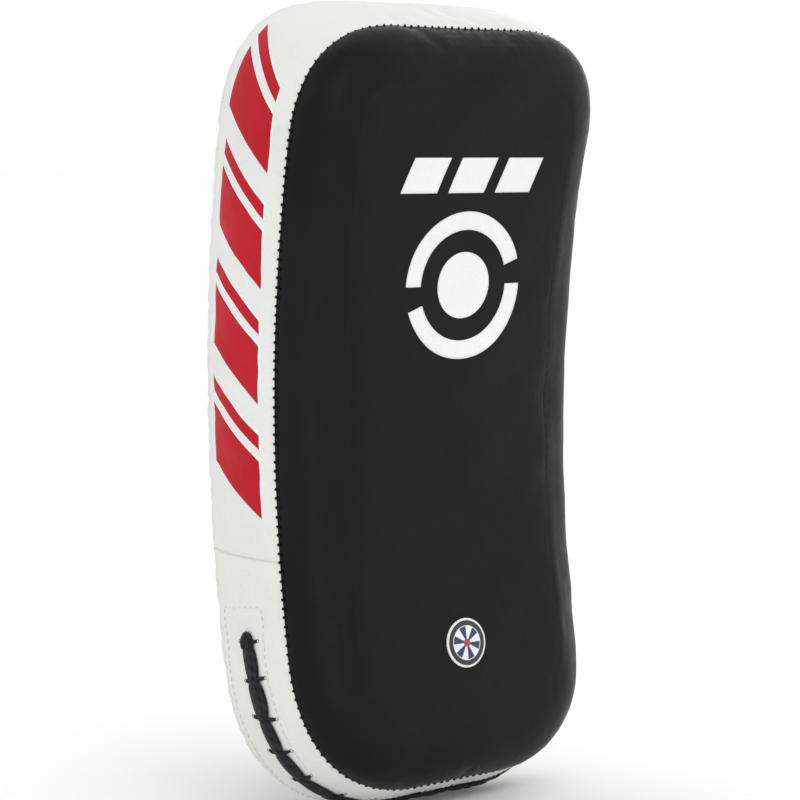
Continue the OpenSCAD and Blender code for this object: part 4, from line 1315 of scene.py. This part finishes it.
def forearm_strap(place, s):
    matrix = on_back(s)
    route = strap_route()
    parts = Parts()
    ribbon(parts, matrix, route, STRAP_HALF, STRAP_T, 0, 5 if place == "lower" else 6)
    top = STRAP_Y + STRAP_T / 2
    finish_piece(parts, place + "_webbing", [WEBBING], "pad", [place + "_strap"])

    loop = Parts()
    base = resample(arch(np.arange(84, 29, -2.0), BAR_Y), 1.5)
    base = base + left_of(base) * (STRAP_T / 2 + LOOP_T / 2 + 0.1)
    ribbon(loop, matrix, base, STRAP_HALF - 3, LOOP_T, 0, 8, 0.1, corner=3)
    finish_piece(loop, place + "_loop_tape", [LOOP_TAPE], "pad", [place + "_loop_patch"])
    thread = Parts()
    up = left_of(base)
    for z in (-SEWN, SEWN):
        line = np.column_stack([base + up * (LOOP_T / 2 + 0.05), np.full(len(base), z)])
        local_dashes(thread, matrix, line[2:-2], np.column_stack([up, 0 * up[:, 0]])[2:-2])
    flap = flap_route()
    parts = Parts()
    ribbon(parts, matrix, flap, STRAP_HALF, STRAP_T, 0, 11, corner=5)
    body = place + "_flap"
    finish_piece(parts, place + "_flap_webbing", [WEBBING], body, [place + "_tab"])
    hooks = Parts()
    inner = flap[flap[:, 1] > 42]
    inner = inner + left_of(inner) * (STRAP_T / 2 + LOOP_T / 2)
    inner = inner[:-2]
    ribbon(hooks, matrix, inner, STRAP_HALF - 3, LOOP_T, 0, 12, 0.1, corner=3)
    finish_piece(hooks, place + "_hook_tape", [HOOK_TAPE], body, [place + "_hook_patch"])
    flap_thread = Parts()
    up = -left_of(flap)
    outer = flap + up * (STRAP_T / 2 + 0.02)
    a, b = np.argmax(flap[:, 1] > 42) + 2, len(flap) - 4
    up3 = np.column_stack([up, 0 * up[:, 0]])
    for z in (-SEWN, SEWN):
        line = np.column_stack([outer, np.full(len(outer), z)])
        local_dashes(flap_thread, matrix, line[a:b], up3[a:b])
    for i in (a, b - 1):
        zs = np.linspace(-SEWN, SEWN, 30)
        line = np.column_stack([np.full(30, outer[i, 0]), np.full(30, outer[i, 1]), zs])
        local_dashes(flap_thread, matrix, line, up3[i])
    finish_piece(flap_thread, place + "_flap_thread", [GREY_THREAD], body)

    anchor = Parts()
    angles = np.radians(np.arange(-90, -331, -12))
    loop_pts = [(RING_X + 2.85 * math.cos(b), RING_Y + 2.85 * math.sin(b)) for b in angles]
    path = [(88, 1.25), (75, 1.25), (62, 1.3)] + loop_pts
    path += [(65.6, 3.6), (68, 2.75), (75, 2.68), (87.6, 2.68)]
    ribbon(anchor, matrix, resample(path, 0.9), 23, 1.3, 0, 15, 0.12)
    finish_piece(anchor, place + "_ring_webbing", [WEBBING], "pad", [place + "_ring_anchor"])

    patch = Parts()
    sewn_plate(patch, matrix, -75, 0, 25, 56, top - 0.05, top + 1.8)
    finish_piece(patch, place + "_strap_leather", [CUSHION], "pad",
                 [place + "_strap_patch"])
    patch = Parts()
    sewn_plate(patch, matrix, 75, 0, 21, 56, 3.3, 5.1)
    finish_piece(patch, place + "_ring_leather", [CUSHION], "pad", [place + "_ring_patch"])
    for cx, w, y in ((-75, 25, top + 1.55), (75, 21, 4.85)):
        route = box_route(cx, 0, w - 6, 50, 1.5, y)
        local_dashes(thread, matrix, route, (0, 1, 0))
    finish_piece(thread, place + "_strap_thread", [GREY_THREAD], "pad")
    rivets = ((-75, -15, top + 1.8), (-75, 15, top + 1.8), (75, -15, 5.1), (75, 15, 5.1))
    for k, (x, z, y) in enumerate(rivets):
        rivet(matrix, f"{place}_capped_rivet_{k + 1}", x, z, y + 0.05, f"{place}_rivet_{k + 1}")
    steel_loop(matrix, place)


for place, s in STRAPS.items():
    forearm_strap(place, s)


def grip_sleeve(matrix):
    """Padded leather sleeve on the dowel: full in the middle, gathered at its ends, with a lapped seam."""
    rows = []
    sides = 72
    a = circle(sides)
    half = GRIP_LENGTH / 2
    near_end = np.array([0, 0.25, 0.9, 2.0, 3.4])
    xs = np.concatenate([near_end - half, np.linspace(-half + 5, half - 5, 70), half - near_end[::-1]])
    for x in xs:
        end = half - abs(x)
        full = GRIP_R - 3.2 * math.exp(-end / 1.6) - 0.35 * math.exp(-(end - 6) ** 2 / 2.2)
        r = np.full(sides, full)
        fold = waves(np.stack([np.full(sides, x * 0.12), 9 * np.cos(a), 9 * np.sin(a)], 1), 5.0, 91)
        r += 0.30 * fold * math.exp(-end / 9.0) + 0.12 * waves(
            np.stack([np.full(sides, x), 14 * np.cos(a), 14 * np.sin(a)], 1), 16.0, 92)
        seam = np.angle(np.exp(1j * (a - 1.2)))
        r += np.where(seam > 0, 0.55 * np.exp(-(seam / 0.34) ** 4), 0) - 0.35 * np.exp(-((seam) / 0.03) ** 2)
        r = np.minimum(r, GRIP_R + 0.45)
        rows.append(np.stack([np.full(sides, x), GRIP_Y + r * np.sin(a), r * np.cos(a)], 1))
    inner = [np.stack([np.full(sides, x), GRIP_Y + (CORE_R + 0.1) * np.sin(a), (CORE_R + 0.1) * np.cos(a)], 1)
             for x in (half, -half)]
    rows = rows + inner
    n = len(rows)
    faces = [(r * sides + i, r * sides + (i + 1) % sides, ((r + 1) % n) * sides + (i + 1) % sides,
              ((r + 1) % n) * sides + i) for r in range(n) for i in range(sides)]
    parts = Parts()
    parts.add(placed(matrix, np.concatenate(rows)), faces)
    obj = finish_piece(parts, "grip_cover", [GRIP], "grip", ["grip_sleeve"])
    thread = Parts()
    b = 1.2 + 0.13
    up = np.array([0, math.sin(b), math.cos(b)])
    line = np.array([(x, GRIP_Y, 0) for x in np.linspace(-half + 7, half - 7, 60)]) + up * (GRIP_R + 0.40)
    local_dashes(thread, matrix, line, up)
    ups = np.array([(0, math.sin(c), math.cos(c)) for c in np.linspace(0, 2 * math.pi, 60)])
    for x in (-half + 6.2, half - 6.2):
        local_dashes(thread, matrix, np.array([x, GRIP_Y, 0]) + ups * (GRIP_R - 0.35), ups, 2.2, 1.0)
    finish_piece(thread, "grip_thread", [GREY_THREAD], "grip")


def grip_end(matrix, way):
    """Leather end strap from its foot up round the end of the dowel, with a rounded edge and stitching."""
    name = "left" if way < 0 else "right"
    x0 = way * (GRIP_LENGTH / 2 + 2)
    a = np.radians(np.arange(0, 181, 10))
    outline = [(LUG_R * math.cos(b), GRIP_Y + LUG_R * math.sin(b)) for b in a]
    outline += [(-LUG_R, y) for y in np.linspace(GRIP_Y - 3, LUG_R + 0.6, 9)]
    under = np.radians(np.arange(190, 360, 10))
    outline += [(LUG_R * math.cos(b), LUG_R + 0.6 + LUG_R * math.sin(b)) for b in under]
    outline += [(LUG_R, y) for y in np.linspace(LUG_R + 0.6, GRIP_Y - 3, 9)]
    outline = np.array(outline)
    n = len(outline)
    spine = np.stack([0 * outline[:, 0], np.clip(outline[:, 1], LUG_R + 0.6, GRIP_Y)], 1)
    inward = spine - outline
    inward /= np.linalg.norm(inward, axis=1)[:, None]
    rings = []
    for inset, t in ((1.0, -2.0), (0.25, -1.7), (0.0, -1.0), (0.0, 1.0), (0.25, 1.7), (1.0, 2.0), (2.4, 1.95),
                     (3.1, 1.7), (3.8, 1.95), (6.0, 2.0)):
        q = outline + inward * inset
        rings.append(np.stack([x0 + way * t + 0 * q[:, 0], q[:, 1], q[:, 0]], 1))
    parts = Parts()
    parts.add(placed(matrix, np.concatenate(rings)), capped(len(rings), n))
    obj = parts.build(f"grip_strap_{name}", [CUSHION], True)
    bm = bmesh.new()
    bm.from_mesh(obj.data)
    bmesh.ops.triangulate(bm, faces=[f for f in bm.faces if len(f.verts) > 4])
    bmesh.ops.recalc_face_normals(bm, faces=bm.faces)
    bm.to_mesh(obj.data)
    bm.free()
    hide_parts(f"grip_lug_{name}")
    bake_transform(obj)
    washer = Parts()
    sides = 40
    profile = [(0.01, 2.6), (2.2, 2.5), (3.6, 2.1), (4.4, 1.5), (4.7, 1.15), (5.1, 1.1), (7.2, 1.05),
               (7.9, 0.8), (8.1, 0.4), (8.0, -0.1)]
    verts = []
    for r, h in profile:
        verts += [(x0 + way * (2.0 + h), GRIP_Y + r * math.sin(c), r * math.cos(c)) for c in circle(sides)]
    washer.add(placed(matrix, np.array(verts)), capped(len(profile), sides))
    finish_piece(washer, f"grip_cap_{name}", [STEEL], "grip")
    thread = Parts()
    seam = outline + inward * 3.1
    ring = np.stack([np.full(n, x0 + way * 1.72), seam[:, 1], seam[:, 0]], 1)
    order = np.concatenate([ring, ring[:1]])
    upper_part = [i for i in range(n) if outline[i, 1] > 19]
    first = [i for i in upper_part if i > n // 2]
    seq = first + [i for i in upper_part if i <= n // 2]
    local_dashes(thread, matrix, order[seq], (way, 0, 0))
    finish_piece(thread, f"grip_strap_thread_{name}", [GREY_THREAD], "grip")


def grip_foot(matrix, way):
    """Leather foot beside each strap end: riveted flat to the back, then turned up against the strap."""
    name = "left" if way < 0 else "right"
    near = GRIP_LENGTH / 2 + 4 + GAP
    path = [(near + 25.6, GAP + 1.2), (near + 6, GAP + 1.25)]
    corner = np.radians(np.arange(0, 91, 10))
    path += [(near + 1.2 + 4 - 4 * math.sin(b), GAP + 1.2 + 4 - 4 * math.cos(b)) for b in corner]
    path += [(near + 1.2, 12), (near + 1.2, 20)]
    path = resample(path, 0.8)
    path[:, 0] *= way
    run = np.concatenate([[0], np.cumsum(np.linalg.norm(np.diff(path, axis=0), axis=1))])
    half = np.interp(run, [0, 19, 26, 60], [17, 17, 12.5, 12.5])
    parts = Parts()
    ribbon(parts, matrix, path, half, 2.3, 0, 31, 0.05, corner=3)
    if way < 0:
        parts.faces = [f[::-1] for f in parts.faces]
    finish_piece(parts, f"grip_foot_{name}", [CUSHION], "pad", [f"grip_patch_{name}"])
    thread = Parts()
    corners = ((near + 7, 14), (near + 23, 14), (near + 23, -14), (near + 7, -14))
    line = [(way * x, GAP + 2.42, z) for x, z in corners]
    for p, q in zip(line, line[1:]):
        seg = np.linspace(p, q, 12)
        local_dashes(thread, matrix, seg, (0, 1, 0))
    finish_piece(thread, f"grip_foot_thread_{name}", [GREY_THREAD], "pad")


grip_place = on_back(GRIP_AT)
grip_sleeve(grip_place)
for way in (-1, 1):
    grip_end(grip_place, way)
    grip_foot(grip_place, way)
for k in (1, 2, 3, 4):
    x = (-1 if k < 3 else 1) * (GRIP_LENGTH / 2 + 4 + GAP + 16)
    rivet(grip_place, f"grip_capped_rivet_{k}", x, (-9, 9)[(k - 1) % 2], GAP + 2.4, f"grip_rivet_{k}")


# ---- Forearm cushion ----

CUSHION_HALF_W, CUSHION_HALF_L, CUSHION_R, CUSHION_MID, CUSHION_T = 45.0, 96.0, 20.0, -18.0, 12.0


def rounded_box(n, half_w, half_l, r):
    """n even points round a rounded rectangle, from the middle of its right side."""
    pts = [(half_w, 0.0)]
    for sx, sz, start in ((1, 1, 0), (-1, 1, 90), (-1, -1, 180), (1, -1, 270)):
        for a in np.radians(start + np.arange(0, 91, 3)):
            pts.append((sx * (half_w - r) + r * math.cos(a), sz * (half_l - r) + r * math.sin(a)))
    pts = np.array(pts + pts[:1])
    run = np.concatenate([[0], np.cumsum(np.linalg.norm(np.diff(pts, axis=0), axis=1))])
    at = np.arange(n) * run[-1] / n
    return np.stack([np.interp(at, run, pts[:, k]) for k in (0, 1)], 1)


def forearm_cushion():
    n = 480
    edge = rounded_box(n, CUSHION_HALF_W - 0.6, CUSHION_HALF_L - 0.6, CUSHION_R)
    inner = rounded_box(n, 1.2, CUSHION_HALF_L - CUSHION_HALF_W + 1.2, 1.1)
    levels = [(0.0, 0.25, 1), (-0.004, 0.9, 1), (0.0, 1.6, 1), (0.012, 2.1, 1), (0.03, 2.25, 1),
              (0.055, 2.2, 1), (0.075, 1.85, 1), (0.09, 1.75, 1), (0.105, 2.1, 1)]
    for t in np.linspace(0.13, 1.0, 26):
        u = (t - 0.105) / 0.895
        levels.append((t, 2.1 + (CUSHION_T - 2.6) * math.sin(math.pi / 2 * min(1, u * 1.5)) ** 0.7, 0))
    rows = []
    for t, h, border in levels:
        q = edge * (1 - t) + inner * t
        points = np.stack([q[:, 0], 0 * q[:, 0], q[:, 1]], 1)
        lift = h
        if not border:
            near = math.exp(-(t - 0.105) / 0.09)
            pucker = 0.5 + 0.5 * np.cos(2 * math.pi * np.arange(n) / 4)
            lift = h - 0.22 * near * pucker + 0.45 * near * waves(points, 11.0, 51) \
                + 0.22 * waves(points, 38.0, 52)
            for line in (-32.0, 32.0):
                lift = lift - 3.4 * np.exp(-((q[:, 1] - line) / 3.2) ** 2) * min(1, (t - 0.105) / 0.3)
        rows.append(np.stack([q[:, 0], lift + 0 * q[:, 0], q[:, 1]], 1))
    base = np.stack([edge[:, 0] * 0.995, 0 * edge[:, 0], edge[:, 1] * 0.995], 1)
    rows = [base] + rows
    flat = []
    for r in rows:
        s = CUSHION_MID + r[:, 2]
        flat.append(np.stack([r[:, 0], back_depth(s) + GAP + r[:, 1], s], 1))
    flat = np.concatenate(flat)
    count = len(rows)
    faces = quads(count, n)
    quarter = n // 4
    for start in (0, (count - 1) * n):
        for i in range(n // 2):
            a, b = start + (quarter + i) % n, start + (quarter + i + 1) % n
            c, d = start + (quarter - i - 1) % n, start + (quarter - i) % n
            faces.append((a, b, c) if i == 0 else (a, b, d) if i == n // 2 - 1 else (a, b, c, d))
    obj = make_mesh("arm_cushion", bend(flat), faces, [CUSHION])
    outward(obj.data, 1e-6)
    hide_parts("forearm_cushion")
    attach(obj, "pad")
    thread = Parts()
    loop = edge * (1 - 0.083) + inner * 0.083
    loop = np.concatenate([loop, loop[:1]])
    s = CUSHION_MID + loop[:, 1]
    flat = np.stack([loop[:, 0], back_depth(s) + GAP + 1.75, s], 1)
    p = bend(flat)
    up = bend_direction(flat, np.broadcast_to([0.0, 1.0, 0.0], flat.shape))
    run = np.concatenate([[0], np.cumsum(np.linalg.norm(np.diff(p, axis=0), axis=1))]) / MM
    total = int(run[-1] // 3.8)
    for k in range(total):
        at = (k + 0.5) * run[-1] / total + np.linspace(-1.3, 1.3, 5)
        q = np.stack([np.interp(at, run, p[:, c]) for c in range(3)], 1)
        u = np.stack([np.interp(at, run, up[:, c]) for c in range(3)], 1)
        q = q + u * (np.array([-0.4, 0.1, 0.2, 0.1, -0.4]) * MM)[:, None]
        tube(thread, q, u, 0.28 * MM, sides=6)
    finish_piece(thread, "arm_cushion_thread", [GREY_THREAD], "pad")


forearm_cushion()


# ---- CAD nodes that keep their shape get their materials ----

for node_name, mat in FOAMS.items():
    paint(node_name, mat)
paint("grip_core", DOWEL)
paint("stiffener_board", BOARD)
paint("lacing_facing", BLACK)
paint("lacing_tongue", TONGUE)


# ---- Floor, light and camera ----

def matte(name, colour, rough=0.9):
    m, _, _, bsdf = material(name)
    bsdf.inputs["Base Color"].default_value = (*colour, 1)
    bsdf.inputs["Roughness"].default_value = rough
    bsdf.inputs["Specular IOR Level"].default_value = 0.1
    return m


def floor():
    mesh = bpy.data.meshes.new("floor")
    mesh.from_pydata([(-60, -60, 0), (60, -60, 0), (60, 60, 0), (-60, 60, 0)], [], [(0, 1, 2, 3)])
    mesh.materials.append(matte("floor_white", (0.96, 0.96, 0.96)))
    obj = bpy.data.objects.new("floor", mesh)
    bpy.context.scene.collection.objects.link(obj)


def area_light(name, place, aim, size, watts):
    data = bpy.data.lights.new(name, "AREA")
    data.shape = "RECTANGLE"
    data.size, data.size_y = size
    data.energy = watts
    obj = bpy.data.objects.new(name, data)
    obj.location = place
    obj.rotation_euler = (Vector(aim) - Vector(place)).to_track_quat("-Z", "Y").to_euler()
    bpy.context.scene.collection.objects.link(obj)


def studio():
    world = bpy.data.worlds.new("studio")
    world.use_nodes = True
    world.node_tree.nodes["Background"].inputs["Color"].default_value = (1, 1, 1, 1)
    world.node_tree.nodes["Background"].inputs["Strength"].default_value = 1.03
    bpy.context.scene.world = world
    middle = (0, 0, 0.2)
    area_light("key", (-2.0, 0.1, 1.0), middle, (1.0, 1.2), 2.5)
    area_light("front", (-0.62, -1.95, 0.7), middle, (0.45, 1.2), 4)
    area_light("right", (1.5, -1.45, 0.7), middle, (0.8, 1.2), 0.8)
    area_light("rim", (1.7, 0.9, 0.8), middle, (0.8, 1.2), 3)
    area_light("top", (0.1, 0.0, 1.9), middle, (1.2, 1.2), 2)
    bpy.context.scene.view_settings.view_transform = "Standard"


def camera():
    data = bpy.data.cameras.new("camera")
    data.lens = 129.75
    data.sensor_width = 36
    obj = bpy.data.objects.new("camera", data)
    obj.location = (-1.0238, -1.1080, 0.3355)
    obj.rotation_euler = (math.radians(90 - 4.874), 0, math.radians(-43.343))
    bpy.context.scene.collection.objects.link(obj)
    bpy.context.scene.camera = obj


floor()
studio()
camera()
